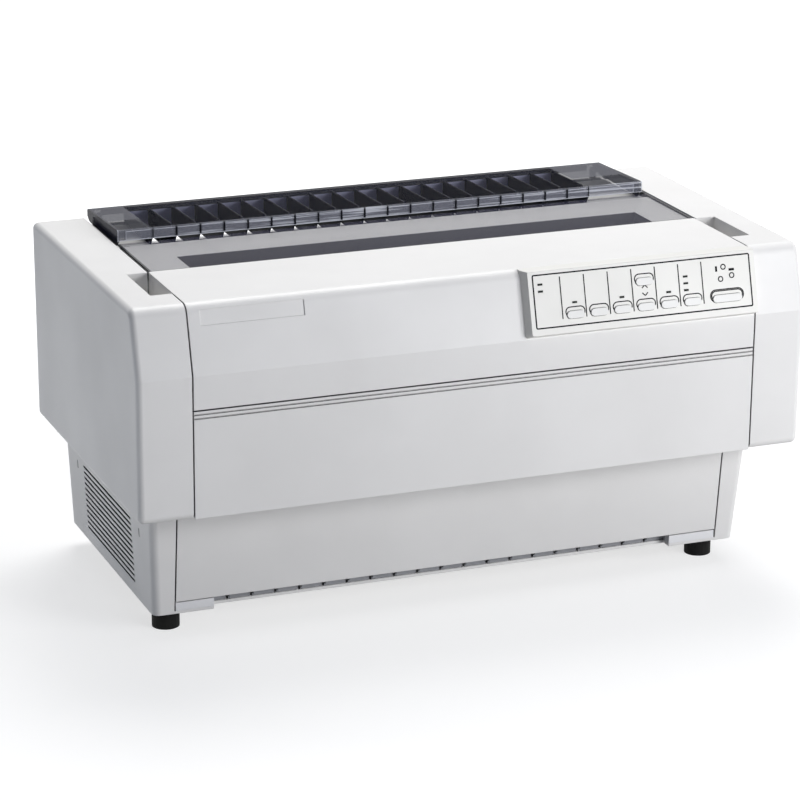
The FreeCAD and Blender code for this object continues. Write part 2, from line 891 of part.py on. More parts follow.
def cover_skirt(foot):
    """Side wall of the front cover, inside its front, top strip and foot."""
    reach = cover_skirt_depth / math.cos(facet_tilt)
    low_z = deck_z - cover_skirt_depth
    return square([
        (case_face_y(foot) + wall / 2, foot + wall / 2),
        (case_face_y(foot) + cover_flange, foot + wall / 2),
        (crease_y + reach, crease_z),
        (facet_top_y + reach, low_z),
        (strip_back_y, low_z),
        (strip_back_y, deck_z - wall / 2),
        (facet_top_y + facet_edge_radius, deck_z - wall / 2),
        (facet_top_y + wall + facet_edge_radius / 2, deck_z - wall - facet_edge_radius / 2),
        (crease_y + wall / 2, crease_z)])


def front_cover():
    """Top cover moulding: sloping front, top strip, window frame, skirts and hinge arms."""
    foot = split_z + seam / 2
    x = (-cover_half, cover_half)
    outer = cover_section(0, strip_back_y, foot)
    inner = cover_section(wall, strip_back_y, foot)
    frame_z = (deck_z - smoke_thickness - window_frame_thickness, deck_z - smoke_thickness)
    frame_half = cover_half - smoke_edge_gap + seam
    window_back_y = strip_back_y + window_depth
    collar_z = frame_z[0] - collar_depth
    pieces = [
        extrude_x(outer + inner[::-1], x),
        box((-frame_half, frame_half),
            (strip_back_y - wall, hinge_y - hinge_eye_radius - seam / 2), frame_z),
        box(widened((-window_half, window_half), window_frame_thickness),
            (strip_back_y - wall, window_back_y + window_frame_thickness),
            (collar_z, frame_z[0] + window_frame_thickness / 2)),
        box(x, (case_face_y(foot) + wall / 2, case_face_y(foot) + wall + cover_flange), (foot, foot + wall))]
    arm_foot_z = deck_z - cover_skirt_depth / 2
    arm_top_z = frame_z[1] - window_frame_thickness / 2
    for side in (-1, 1):
        arm_x = on_side(side, frame_outer + seam, frame_outer + seam + hinge_arm_width)
        pin_x = on_side(side, frame_x - seam, frame_outer + seam + hinge_arm_width / 2)
        pieces.append(extrude_x(cover_skirt(foot), on_side(side, cover_half - wall, cover_half)))
        pieces.append(extrude_x(square([
            (strip_back_y - cover_skirt_depth, deck_z - wall / 2),
            (strip_back_y - cover_skirt_depth, arm_foot_z),
            (strip_back_y, arm_foot_z),
            (hinge_y, hinge_z - hinge_eye_radius),
            (hinge_y, arm_top_z),
            (strip_back_y, arm_top_z),
            (strip_back_y, deck_z - wall / 2)]), arm_x))
        pieces.append(rod_x(hinge_eye_radius, arm_x, hinge_y, hinge_z))
        pieces.append(rod_x(hinge_pin_radius, pin_x, hinge_y, hinge_z))
    for i in range(cover_rib_count):
        rib_x = 2 * window_half * (i - (cover_rib_count - 1) / 2) / (cover_rib_count + 1)
        pieces.append(box((rib_x, rib_x + cover_rib_thickness),
                          (facet_top_y + facet_edge_radius + wall, strip_back_y - wall),
                          (deck_z - wall - cover_rib_depth, deck_z - wall / 2)))
    window = box((-window_half, window_half), (strip_back_y, window_back_y), (collar_z - overrun, deck_z))
    badge_left = badge_left_gap - cover_half
    badge_top = facet_length - badge_top_gap
    badge = box((badge_left, badge_left + badge_length), (badge_top - badge_height, badge_top),
                (-badge_depth, overrun))
    cable_slot = box(middle_span(panel_left + panel_length / 2, cable_slot_length),
                     middle_span(facet_length / 2, cable_slot_height), (-wall - overrun, overrun))
    return cut(join(pieces), [window, on_facet(badge), on_facet(cable_slot)])


def smoke_plate():
    """Smoke-tinted sheet over the window frame, flush with the top of the case."""
    half = cover_half - smoke_edge_gap + seam
    return box((-half, half), (strip_back_y, hinge_y + hinge_eye_radius / 2),
               (deck_z - smoke_thickness, deck_z))


def control_panel():
    """Wedge-shaped panel housing on the facet, with holes for its buttons and lights."""
    across = outline(square([(panel_left, -panel_root), (cover_half, -panel_root), (cover_half, panel_proud),
                             (panel_left + panel_flare, panel_proud), (panel_left, 0)]), in_xz)
    top = facet_length + panel_proud
    along = outline(square([(panel_lift / 2, -panel_root), (top, -panel_root), (top, panel_proud),
                            (panel_lift, panel_proud), (panel_lift / 2, 0)]), in_yz)
    block = Part.Face(across).extrude(V(0, depth, 0)).common(Part.Face(along).extrude(V(half_width, 0, 0)))
    corner = [edge for edge in block.Edges
              if edge.BoundBox.ZMin > -seam / half_width and edge.BoundBox.ZLength > panel_proud / 2
              and edge.BoundBox.XMax < panel_left + panel_flare + seam
              and edge.BoundBox.YMax < panel_lift + seam]
    block = on_facet(block.makeFillet(panel_corner_radius, corner))
    reach = (panel_left - overrun, half_width)
    inside = [box(reach, (-depth, 0), (deck_z, deck_z + depth)),
              extrude_x(cover_section(0, 0, split_z), reach),
              box(reach, (facet_top_y + facet_edge_radius, 0), (crease_z, deck_z + overrun))]
    block = cut(block, inside)
    under_face = panel_proud - panel_face_thickness
    through = (under_face - overrun, panel_proud + overrun)
    holes = [box((panel_left + panel_flare + panel_side_thickness, cover_half - panel_side_thickness),
                 (panel_lift + panel_side_thickness, facet_length - facet_edge_radius),
                 (-overrun, under_face))]
    for x, rise, length in button_places():
        holes.append(pill(x, rise, length + button_gap * 2, button_height + button_gap * 2, through))
    for x, rise in light_places():
        holes.append(box(middle_span(x, light_length), middle_span(rise, light_height), through))
    return cut(block, [on_facet(hole) for hole in holes])


def button_places():
    """Centre and length of each button: the row, the one above its third gap, the wide one."""
    row = [(panel_left + button_first_gap + button_pitch * i, button_row_rise, button_length)
           for i in range(button_count)]
    upper = (row[buttons_before_upper_count][0], button_upper_rise, button_length)
    wide = (panel_left + wide_button_gap, button_row_rise, wide_button_length)
    return row + [upper, wide]


def light_places():
    """Centre of each status light on the facet."""
    first_x = panel_left + power_light_gap
    places = [(first_x, power_light_rise), (first_x, power_light_rise - light_step)]
    places += [(x, row_light_rise) for x, _, _ in button_places()[0:button_count - 1:2]]
    places += [(panel_left + mode_light_gap, row_light_rise + light_step * i)
               for i in range(mode_light_count)]
    return places


def button(place):
    """Push button with the flange that keeps it behind the panel face."""
    x, rise, length = place
    flange_top = panel_proud - panel_face_thickness - keypad_gap
    low = circuit_thickness + keypad_gap * 2 + button_travel
    cap = pill(x, rise, length, button_height, (low, panel_proud + button_proud))
    flange = box(widened(middle_span(x, length), button_flange),
                 widened(middle_span(rise, button_height), button_flange),
                 (flange_top - button_flange_thickness, flange_top))
    return on_facet(join([cap, flange]))


def status_lights():
    """Light pipes from the circuit board to the panel face."""
    return Part.makeCompound([
        on_facet(box(middle_span(x, light_length), middle_span(rise, light_height),
                     (circuit_thickness, panel_proud + light_proud)))
        for x, rise in light_places()])


def panel_board():
    """Circuit board behind the buttons."""
    margin = panel_side_thickness + circuit_margin
    return on_facet(box((panel_left + panel_flare + margin, cover_half - margin),
                        (panel_lift + margin, facet_length - facet_edge_radius - circuit_margin),
                        (0, circuit_thickness)))


def under_cover(y):
    """Height of the underside of the rear cover's sheet."""
    fall = rear_cover_fall / rear_cover_depth
    return height - fall * (y - lip_y) - rear_cover_thickness / math.cos(math.atan(fall))


def rear_cover():
    """Smoke rear cover: sloping sheet, front lip, end walls, end blocks and hinge pins."""
    back_z = height - rear_cover_fall
    foot_z = back_z - rear_wall_foot
    t = rear_cover_thickness
    inner_back_y = back_y - t
    lip_foot = deck_z + seam / 2
    end_foot = deck_z - end_wall_drop
    pieces = [extrude_x([
        (lip_y, lip_foot, 0), (lip_y + t, lip_foot, 0), (lip_y + t, under_cover(lip_y + t), 0),
        (inner_back_y, under_cover(inner_back_y), 0), (inner_back_y, foot_z, 0),
        (back_y, foot_z, 0), (back_y, back_z, t), (lip_y, height, t / 2)],
        (-rear_cover_half, rear_cover_half))]
    notches = []
    for side in (-1, 1):
        pieces.append(extrude_x(square([
            (lip_y + t / 2, lip_foot), (lip_y + end_block_length, end_foot),
            (rear_hinge_y, end_foot + t), (rear_hinge_y + rear_lug_radius, rear_hinge_z - rear_lug_radius),
            (back_y - t / 2, foot_z), (back_y - t / 2, back_z - t / 2),
            (lip_y + t / 2, height - t / 2)]), on_side(side, rear_cover_half - t, rear_cover_half)))
        pieces.append(box(on_side(side, rear_cover_half - end_block_length, rear_cover_half),
                          (lip_y, lip_y + end_block_length / 2), (lip_foot, height - t / 2)))
        pin_x = on_side(side, rear_lug_x - rear_lug_width / 2, rear_cover_half - t / 2)
        pieces.append(rod_x(rear_pin_radius, pin_x, rear_hinge_y, rear_hinge_z))
        notches.append(box(widened((side * rear_lug_x, side * rear_lug_x), rear_lug_width),
                           (inner_back_y - t / 2, back_y + overrun), (foot_z - overrun, back_z - t)))
    return cut(join(pieces), notches)


def cover_fins():
    """Row of paper fins under the rear cover, each with the post that stands in the lip."""
    t = rear_cover_thickness
    back = back_y - fin_back_inset
    front = lip_y + t
    slope_y = front + fin_front_gap
    bottom_z = deck_z - fin_bottom_drop
    web_z = deck_z + seam / 2
    half = fin_thickness / 2
    pieces = [box((fin_left_x - half, fin_right_x + half), (back - fin_bar_thickness, back),
                  (bottom_z, under_cover(back) - t))]
    for i in range(fin_count):
        pieces.append(extrude_x(square([
            (back, bottom_z), (back, under_cover(back)),
            (slope_y, under_cover(slope_y)),
            (slope_y - post_depth, web_z + fin_web_height),
            (front + post_depth, web_z + fin_web_height),
            (front + post_depth, under_cover(front + post_depth)),
            (front, under_cover(front)), (front, web_z),
            (slope_y, bottom_z)]),
            middle_span(fin_right_x - fin_pitch * i, fin_thickness)))
    return join(pieces)


def rear_housing():
    """Back wall of the upper case, with two paper slots, end plates and the cover's lugs."""
    plate_z = deck_z - end_plate_drop
    plate_y = (lip_y + seam, back_y - end_plate_back_gap)
    lug_foot_z = rear_top_z - rear_lug_radius * 2
    pieces = [box((-cover_half, cover_half), (back_y - wall, back_y), (shoulder_z, rear_top_z))]
    for side, fin_x in ((-1, fin_left_x - seam), (1, fin_right_x + seam)):
        end = on_side(side, cover_half - wall, cover_half)
        lug_x = middle_span(side * rear_lug_x, rear_lug_width)
        pieces += [
            box(end, (back_y - rear_return_depth, back_y - wall / 2), (shoulder_z, rear_top_z)),
            box(sorted((side * cover_half, fin_x)), plate_y, (plate_z - end_plate_thickness, plate_z)),
            box(end, (plate_y[0], back_y - wall / 2), (rear_top_z - rear_return_depth, rear_top_z)),
            box(lug_x, middle_span(rear_hinge_y, rear_lug_radius * 2), (lug_foot_z, rear_hinge_z)),
            box(lug_x, (rear_hinge_y, back_y - wall / 2), (lug_foot_z, rear_top_z)),
            rod_x(rear_lug_radius, lug_x, rear_hinge_y, rear_hinge_z)]
    paper_x = (paper_side_gap - gap_x, gap_x - paper_side_gap)
    through = (back_y - rear_return_depth - overrun, back_y + overrun)
    cuts = [box(paper_x, through, (exit_z, exit_z + exit_height)),
            box(paper_x, through, (rear_entry_z, rear_entry_z + rear_entry_height)),
            rod_x(rear_pin_radius + pin_clearance, (-half_width, half_width), rear_hinge_y, rear_hinge_z)]
    return cut(join(pieces), cuts)


def chassis_plate():
    return box((-chassis_half_width, chassis_half_width), chassis_y, (floor_z, chassis_top_z))


def tractor_axes():
    """Drive shaft and support rod of the front and the rear tractors, as Y, Z, Y, Z."""
    return [(front_tractor_y, front_tractor_z, front_tractor_y, front_tractor_z + tractor_span),
            (rear_tractor_y, rear_tractor_z, rear_tractor_y + tractor_span, rear_tractor_z)]


def frame_outline():
    """Side outline of a side frame, with the ear that carries the cover's hinge."""
    top_z = deck_z - frame_top_drop
    ear_z = hinge_z + hinge_pin_radius + seam / 2
    nose_y = crease_y + frame_nose_gap
    return [
        (frame_step_y, chassis_top_z, 0), (chassis_y[1], chassis_top_z, 0),
        (chassis_y[1], top_z, frame_window_radius),
        (hinge_y + hinge_ear_foot, top_z, 0),
        (hinge_y + hinge_eye_radius, hinge_z, 0),
        (hinge_y + hinge_eye_radius, ear_z, hinge_pin_radius),
        (hinge_y - hinge_eye_radius, ear_z, hinge_pin_radius),
        (hinge_y - hinge_eye_radius, hinge_z, 0),
        (hinge_y - hinge_ear_foot, top_z, 0),
        (carriage_y[0], top_z, frame_window_radius),
        (nose_y, deck_z - frame_brow_drop, frame_window_radius),
        (nose_y, sill_z, 0), (frame_step_y, sill_z, 0)]


def side_frame():
    """Left side frame: pierced steel plate with bearing holes and a folded pulley bracket."""
    x = (-frame_outer, -frame_x)
    root_x = -frame_x - frame_thickness / 2
    pieces = [
        extrude_x(frame_outline(), x),
        box((root_x, bracket_length - frame_x), middle_span(drive_pulley_y, bracket_width),
            (bracket_z, bracket_z + bracket_thickness)),
        box((root_x, frame_foot_width - frame_x),
            (frame_step_y + frame_foot_width, chassis_y[1] - frame_foot_width),
            (chassis_top_z, chassis_top_z + frame_thickness))]
    cutter = widened(x, overrun)
    holes = [rod_x(hinge_pin_radius + eye_clearance, cutter, hinge_y, hinge_z),
             rod_x(platen_shaft_radius + shaft_clearance, cutter, platen_y, platen_z),
             rod_x(guide_shaft_radius, cutter, guide_shaft_y, guide_shaft_z),
             extrude_x(faceted(motor_boss_radius, pinion_y, pinion_z, motor_boss_sides), cutter),
             rod_z(motor_shaft_radius + shaft_clearance, -drive_pulley_x, drive_pulley_y,
                   widened((bracket_z, bracket_z + bracket_thickness), overrun))]
    for drive_y, drive_z, support_y, support_z in tractor_axes():
        holes.append(rod_x(journal_radius + shaft_clearance, cutter, drive_y, drive_z))
        holes.append(support_rod(cutter, support_y, support_z))
    window_z = (chassis_top_z + frame_window_floor_gap, sill_z)
    step = (chassis_y[1] - frame_step_y) / frame_window_count
    for i in range(frame_window_count):
        window_y = middle_span(frame_step_y + step * (i + 0.5), step - frame_window_margin)
        holes.append(extrude_x(chamfered_rectangle(window_y, window_z, frame_window_radius), cutter))
    return cut(join(pieces), holes)


def rear_paper_guide():
    """Curved sheet from the platen to the paper exit."""
    half = frame_x - guide_side_gap
    back_z = exit_z - rear_guide_exit_drop
    return bent_sheet([(back_y - wall - rear_guide_end_gap, back_z),
                       (platen_y + rear_guide_bend_reach, back_z),
                       (platen_y + rear_guide_front_reach, platen_z + rear_guide_front_rise)],
                      sheet_thickness, guide_bend_radius, (-half, half))


def front_paper_guide():
    """Sheet that leads the paper from the front tractors under the carriage to the platen."""
    half = frame_x - guide_side_gap
    low_z = platen_z - front_guide_drop
    front_y = front_tractor_y + tractor_radius + front_guide_tractor_gap
    end_z = platen_z - front_guide_end_drop
    sheet = bent_sheet([(platen_y - front_guide_end_reach, end_z),
                        (platen_y - front_guide_bend_reach, low_z), (front_y, low_z)],
                       sheet_thickness, guide_bend_radius, (-half, half))
    notches = [box(on_side(side, frame_x - front_guide_side_gap, half + overrun),
                   (front_y - overrun, drive_pulley_y + bracket_width / 2 + seam),
                   (low_z - overrun, end_z)) for side in (-1, 1)]
    return cut(sheet, notches)


def carriage_guide_shaft():
    return rod_x(guide_shaft_radius, (-frame_outer, frame_outer), guide_shaft_y, guide_shaft_z)


def support_rod(x, y, z):
    return extrude_x(faceted(support_rod_radius, y, z, support_rod_sides), x)


def tractor_rods():
    """Fixed rods that the tractors slide along."""
    return Part.makeCompound([support_rod((-frame_outer, frame_outer), y, z)
                              for _, _, y, z in tractor_axes()])


def gear(teeth, y, z, turn, bore):
    """Spur gear about an axis along X, with one tooth centred at turn."""
    radius = gear_module * teeth / 2
    pitch = 2 * math.pi / teeth
    profile = [(radius - tooth_dedendum, -tooth_root_share), (radius + tooth_addendum, -tooth_tip_share),
               (radius + tooth_addendum, tooth_tip_share), (radius - tooth_dedendum, tooth_root_share)]
    corners = []
    for i in range(teeth):
        for r, share in profile:
            angle = turn + pitch * (i + share)
            corners.append((y + r * math.cos(angle), z + r * math.sin(angle)))
    return cut(extrude_x(square(corners), gear_x), [rod_x(bore, widened(gear_x, overrun), y, z)])


def platen_gear():
    turn = feed_motor_turn + math.pi / platen_teeth
    return gear(platen_teeth, platen_y, platen_z, turn, platen_shaft_radius)


def feed_pinion():
    """Motor pinion with the rotor spindle that it is pressed on."""
    toothed = gear(pinion_teeth, pinion_y, pinion_z, feed_motor_turn + math.pi, motor_shaft_radius)
    spindle_x = (gear_x[0], -frame_x - motor_boss_height)
    return join([toothed, rod_x(motor_shaft_radius, spindle_x, pinion_y, pinion_z)])


def pulley(x, y, z):
    """Flanged belt pulley about an axis along X."""
    flange_radius = pulley_radius + belt_thickness + pulley_flange
    return join([extrude_x(faceted(pulley_radius, y, z, pulley_sides), x),
                 extrude_x(faceted(flange_radius, y, z, pulley_sides), (x[1], x[1] + pulley_flange / 2))])


def platen_shaft():
    """Platen shaft with the two belt pulleys on its right end."""
    shaft = rod_x(platen_shaft_radius, (gear_x[0], rear_pulley_x[1]), platen_y, platen_z)
    return join([shaft, pulley(front_pulley_x, platen_y, platen_z),
                 pulley(rear_pulley_x, platen_y, platen_z)])


def platen_roller():
    """Rubber sleeve of the platen."""
    half = frame_x - platen_end_gap
    return cut(rod_x(platen_radius, (-half, half), platen_y, platen_z),
               [rod_x(platen_shaft_radius, widened((-half, half), overrun), platen_y, platen_z)])


def tractor_shaft(y, z, pulley_x):
    """Square drive shaft with round journals and its belt pulley."""
    inner = frame_x - seam
    return join([box((-inner, inner), middle_span(y, drive_shaft_side), middle_span(z, drive_shaft_side)),
                 rod_x(journal_radius, (-frame_outer - seam, -inner), y, z),
                 rod_x(journal_radius, (inner, pulley_x[1]), y, z),
                 pulley(pulley_x, y, z)])


def feed_belts():
    """Two toothed belts from the platen shaft to the front and rear tractor shafts."""
    inner = pulley_radius + belt_gap
    platen = (platen_y, platen_z)
    belts = []
    for pulley_x, axis in ((front_pulley_x, (front_tractor_y, front_tractor_z)),
                           (rear_pulley_x, (rear_tractor_y, rear_tractor_z))):
        x = (pulley_x[0], pulley_x[1] - belt_gap)
        around = rounded_bar(platen, axis, inner + belt_thickness, belt_end_sides)
        within = rounded_bar(platen, axis, inner, belt_end_sides)
        belts.append(cut(extrude_x(around, x), [extrude_x(within, widened(x, overrun))]))
    return Part.makeCompound(belts)


def feed_motor():
    """Paper feed motor on the inside of the left frame, with its boss in the frame's hole."""
    can = extrude_x(faceted(feed_motor_radius, pinion_y, pinion_z, motor_can_sides),
                    (-frame_x, feed_motor_length - frame_x))
    boss = extrude_x(faceted(motor_boss_radius, pinion_y, pinion_z, motor_boss_sides),
                     (-frame_x - motor_boss_height, -frame_x))
    return join([can, boss])


def lid_axis_y():
    return -tractor_radius - lid_gap


def lid_plate(start):
    """Tractor lid over the pins from X start to the inner side, with a slot for the pins."""
    y = middle_span(lid_axis_y(), lid_thickness)
    plate = box((start, tractor_belt_width), y, (0, tractor_span))
    slot = box(middle_span(tractor_belt_width / 2, lid_slot_width), widened(y, overrun),
               (lid_thickness, tractor_span - lid_thickness))
    return cut(plate, [slot])


def tractor_unit(lidded):
    """Left tractor about its drive shaft: plate, belt drum with pins, and lid ears.

    Here -Y faces the paper, +Z is the way of the paper and -X is the outer side.
    """
    axes = ((0, 0), (0, tractor_span))
    drum_radius = tractor_radius - belt_thickness
    pieces = [extrude_x(rounded_bar(*axes, tractor_radius, tractor_end_sides), (-tractor_plate, 0)),
              extrude_x(rounded_bar(*axes, drum_radius, tractor_end_sides), (0, tractor_belt_width))]
    pin_count = int(tractor_span / tractor_pin_pitch) + 1
    first = (tractor_span - tractor_pin_pitch * (pin_count - 1)) / 2
    tip_y = -tractor_radius - tractor_pin_height
    for i in range(pin_count):
        z = first + tractor_pin_pitch * i
        root = middle_span(z, tractor_pin_side)
        tip = middle_span(z, tractor_pin_tip_side)
        pieces.append(extrude_x(square([(-drum_radius, root[0]), (-drum_radius, root[1]),
                                        (tip_y, tip[1]), (tip_y, tip[0])]),
                                middle_span(tractor_belt_width / 2, tractor_pin_tip_side)))
    ear_x = (-tractor_plate, lid_hinge_radius - tractor_plate)
    if lidded:
        hinge_x = (ear_x[0] - lid_hinge_radius, ear_x[1])
        hinge_y_span = (lid_axis_y() - lid_hinge_radius, 0)
        for z in (0, tractor_span - lid_ear_length):
            pieces.append(box(hinge_x, hinge_y_span, (z, z + lid_ear_length)))
        pieces.append(rod_z(lid_pin_radius, -tractor_plate, lid_axis_y(), (0, tractor_span)))
    else:
        pieces.append(lid_plate(-tractor_plate))
        pieces.append(box(ear_x, (lid_axis_y(), 0), (0, tractor_span)))
    reach = widened((-tractor_plate, tractor_belt_width), overrun)
    bore = math.hypot(drive_shaft_side, drive_shaft_side) / 2 + shaft_clearance
    return cut(join(pieces), [rod_x(bore, reach, 0, 0),
                              rod_x(support_rod_radius + shaft_clearance, reach, 0, tractor_span)])


def tractor_lid():
    """Hinged lid of a front tractor, with its knuckle round the hinge pin."""
    ear = lid_ear_length + pin_clearance * 2
    z = (ear, tractor_span - ear)
    across = (-tractor_plate - lid_hinge_radius, lid_hinge_radius + seam / 2 - tractor_plate)
    beside = widened((lid_axis_y(), lid_axis_y()), overrun)
    cleared = cut(lid_plate(lid_hinge_radius - tractor_plate),
                  [box(across, beside, (-overrun, z[0])),
                   box(across, beside, (z[1], tractor_span + overrun))])
    web = box((-tractor_plate, lid_hinge_radius + seam - tractor_plate),
              middle_span(lid_axis_y(), lid_thickness), z)
    knuckle = extrude_z(faceted(lid_hinge_radius, -tractor_plate, lid_axis_y(), lid_knuckle_sides), z)
    lid = join([cleared, web, knuckle])
    return cut(lid, [rod_z(lid_pin_radius + pin_clearance, -tractor_plate, lid_axis_y(),
                           widened((0, tractor_span), overrun))])


def place_tractor(shape, side, rear):
    """Put a left tractor piece at its pair, and mirror it for the right side."""
    piece = shape.copy()
    if rear:
        piece.rotate(V(0, 0, 0), V(1, 0, 0), -90)
    y, z = (rear_tractor_y, rear_tractor_z) if rear else (front_tractor_y, front_tractor_z)
    piece.translate(V(tractor_home_gap - frame_x, y, z))
    return mirrored(piece) if side > 0 else piece


def carriage():
    """Carriage body with its bearing boss on the guide shaft and the belt clamp."""
    x = middle_span(carriage_home_x, carriage_width)
    bottom_z = guide_shaft_z - carriage_bottom_drop
    deck = guide_shaft_z - carriage_deck_drop
    belt_front_y = drive_pulley_y - drive_pulley_radius - belt_gap * 2 - belt_thickness
    pieces = [
        box(x, carriage_y, (bottom_z, deck)),
        rod_x(carriage_boss_radius, x, guide_shaft_y, guide_shaft_z),
        box(middle_span(carriage_home_x, head_width), (guide_shaft_y - head_front_reach, guide_shaft_y),
            (deck - wall, guide_shaft_z + head_bottom_rise)),
        box(middle_span(carriage_home_x, clamp_width), (belt_front_y - clamp_thickness, belt_front_y),
            (drive_pulley_z, bottom_z + wall))]
    bore = rod_x(guide_shaft_radius + shaft_clearance, widened(x, overrun), guide_shaft_y, guide_shaft_z)
    return cut(join(pieces), [bore])


def print_head():
    """Print head: finned heat sink block and the nose that faces the platen."""
    x = middle_span(carriage_home_x, head_width)
    z = (guide_shaft_z + head_bottom_rise, guide_shaft_z + head_top_rise)
    front_y = guide_shaft_y - head_front_reach
    boss_reach = carriage_boss_radius + guide_side_gap
    pieces = [box(x, (front_y + head_fin_depth, carriage_y[1]), (guide_shaft_z + boss_reach, z[1])),
              box(x, (front_y + head_fin_depth, guide_shaft_y - boss_reach), z)]
    step = (head_width - head_fin_thickness) / (head_fin_count - 1)
    for i in range(head_fin_count):
        fin_x = x[0] + step * i
        pieces.append(box((fin_x, fin_x + head_fin_thickness),
                          (front_y, front_y + head_fin_depth + wall), z))
    tip_y = platen_y - platen_radius - nose_gap
    tip_x = middle_span(carriage_home_x, nose_width)
    pieces.append(extrude_z(square([(x[0], carriage_y[1] - wall), (x[1], carriage_y[1] - wall),
                                    (tip_x[1], tip_y), (tip_x[0], tip_y)]),
                            middle_span(platen_z, nose_height)))
    return join(pieces)


def carriage_pulley(side):
    """Belt pulley of the carriage drive, with the spindle in its bracket."""
    x = side * drive_pulley_x
    top_z = drive_pulley_z + drive_pulley_height
    flange_radius = drive_pulley_radius + belt_thickness + seam
    return join([
        extrude_z(faceted(drive_pulley_radius, x, drive_pulley_y, pulley_sides), (drive_pulley_z, top_z)),
        extrude_z(faceted(flange_radius, x, drive_pulley_y, pulley_sides),
                  (drive_pulley_z - seam, drive_pulley_z)),
        rod_z(motor_shaft_radius, x, drive_pulley_y, (bracket_z - seam, drive_pulley_z))])


def carriage_belt():
    """Toothed belt that pulls the carriage."""
    z = middle_span(drive_pulley_z + drive_pulley_height / 2, drive_belt_height)
    axes = ((-drive_pulley_x, drive_pulley_y), (drive_pulley_x, drive_pulley_y))
    inner = drive_pulley_radius + belt_gap
    around = rounded_bar(*axes, inner + belt_thickness, belt_end_sides)
    within = rounded_bar(*axes, inner, belt_end_sides)
    return cut(extrude_z(around, z), [extrude_z(within, widened(z, overrun))])


def carriage_motor():
    """Carriage motor hung under its bracket."""
    around = faceted(carriage_motor_radius, drive_pulley_x, drive_pulley_y, motor_can_sides)
    can = extrude_z(around, (bracket_z - carriage_motor_height, bracket_z))
    return cut(can, [rod_z(motor_shaft_radius + seam, drive_pulley_x, drive_pulley_y,
                           (bracket_z - seam * 2, bracket_z + overrun))])


def ribbon_cartridge():
    """Ribbon cartridge across the front of the carriage, with arms that hold the ribbon."""
    y = (crease_y + cartridge_front_gap, carriage_y[0] - cartridge_carriage_gap)
    z = (platen_z - cartridge_bottom_drop, platen_z + cartridge_top_rise)
    arm_z = middle_span(platen_z, ribbon_height)
    arm_y = (y[1] - cartridge_radius, platen_y - platen_radius - ribbon_gap - ribbon_thickness / 2)
    tab_front_y = y[0] + cartridge_radius
    pieces = [extrude_z(rounded_rectangle((-cartridge_half, cartridge_half), y, cartridge_radius), z)]
    for side in (-1, 1):
        pieces.append(box(on_side(side, cartridge_half - cartridge_arm_width, cartridge_half), arm_y, arm_z))
        pieces.append(box(on_side(side, cartridge_half - cartridge_radius, frame_x - guide_side_gap),
                          (tab_front_y, tab_front_y + cartridge_tab_width), (z[0], z[0] + wall)))
    pieces.append(rod_z(cartridge_knob_radius, cartridge_knob_inset - cartridge_half, (y[0] + y[1]) / 2,
                        (z[1] - wall, z[1] + cartridge_knob_height)))
    return join(pieces)


def ink_ribbon():
    """Inked ribbon between the cartridge's arms."""
    inner = cartridge_half - cartridge_arm_width
    return box((-inner, inner), middle_span(platen_y - platen_radius - ribbon_gap, ribbon_thickness),
               middle_span(platen_z, ribbon_height - seam))


def power_supply():
    """Vented power supply box on the chassis."""
    x = (supply_left, supply_right)
    y = (chassis_y[1] - supply_back_gap - supply_depth, chassis_y[1] - supply_back_gap)
    z = (chassis_top_z, chassis_top_z + supply_height)
    inside = box(widened(x, -frame_thickness), widened(y, -frame_thickness), widened(z, -frame_thickness))
    step = supply_length / (supply_slot_count + 1)
    slot_z = (z[1] - overrun, z[1] + overrun)
    slots = [box(middle_span(supply_left + step * (i + 1), supply_slot_width),
                 widened(y, -supply_slot_margin), slot_z) for i in range(supply_slot_count)]
    return cut(box(x, y, z), [inside] + slots)


def main_board():
    """Main circuit board on its stand-offs."""
    x = (board_frame_gap - frame_x, supply_left - board_supply_gap)
    y = (chassis_y[0] + board_front_gap, chassis_y[1] - supply_back_gap)
    top = chassis_top_z + standoff_height
    pieces = [box(x, y, (top, top + circuit_thickness))]
    for post_x in widened(x, -board_inset):
        for post_y in widened(y, -board_inset):
            pieces.append(box(middle_span(post_x, standoff_side), middle_span(post_y, standoff_side),
                              (chassis_top_z, top + circuit_thickness / 2)))
    return join(pieces)


def fan_frame():
    """Square fan frame with struts to its motor seat and the rotor's pin."""
    z = chassis_top_z + fan_size / 2
    x = (fan_x - fan_thickness, fan_x)
    plan = chamfered_rectangle(middle_span(fan_y, fan_size), middle_span(z, fan_size), fan_corner)
    body = extrude_x(plan, x)
    strut_x = (x[1] - fan_strut_thickness, x[1])
    bore = extrude_x(faceted(fan_bore_radius, fan_y, z, fan_bore_sides), widened(x, overrun))
    pieces = [cut(body, [bore]),
              extrude_x(faceted(fan_hub_radius, fan_y, z, fan_hub_sides), strut_x),
              rod_x(fan_pin_radius, (strut_x[0] - fan_thickness / 2, strut_x[0]), fan_y, z)]
    for i in range(fan_strut_count):
        strut = box(strut_x, (fan_y, fan_y + fan_bore_radius + seam), middle_span(z, fan_strut_width))
        strut.rotate(V(strut_x[0], fan_y, z), V(1, 0, 0), 360.0 / fan_strut_count * i)
        pieces.append(strut)
    return join(pieces)


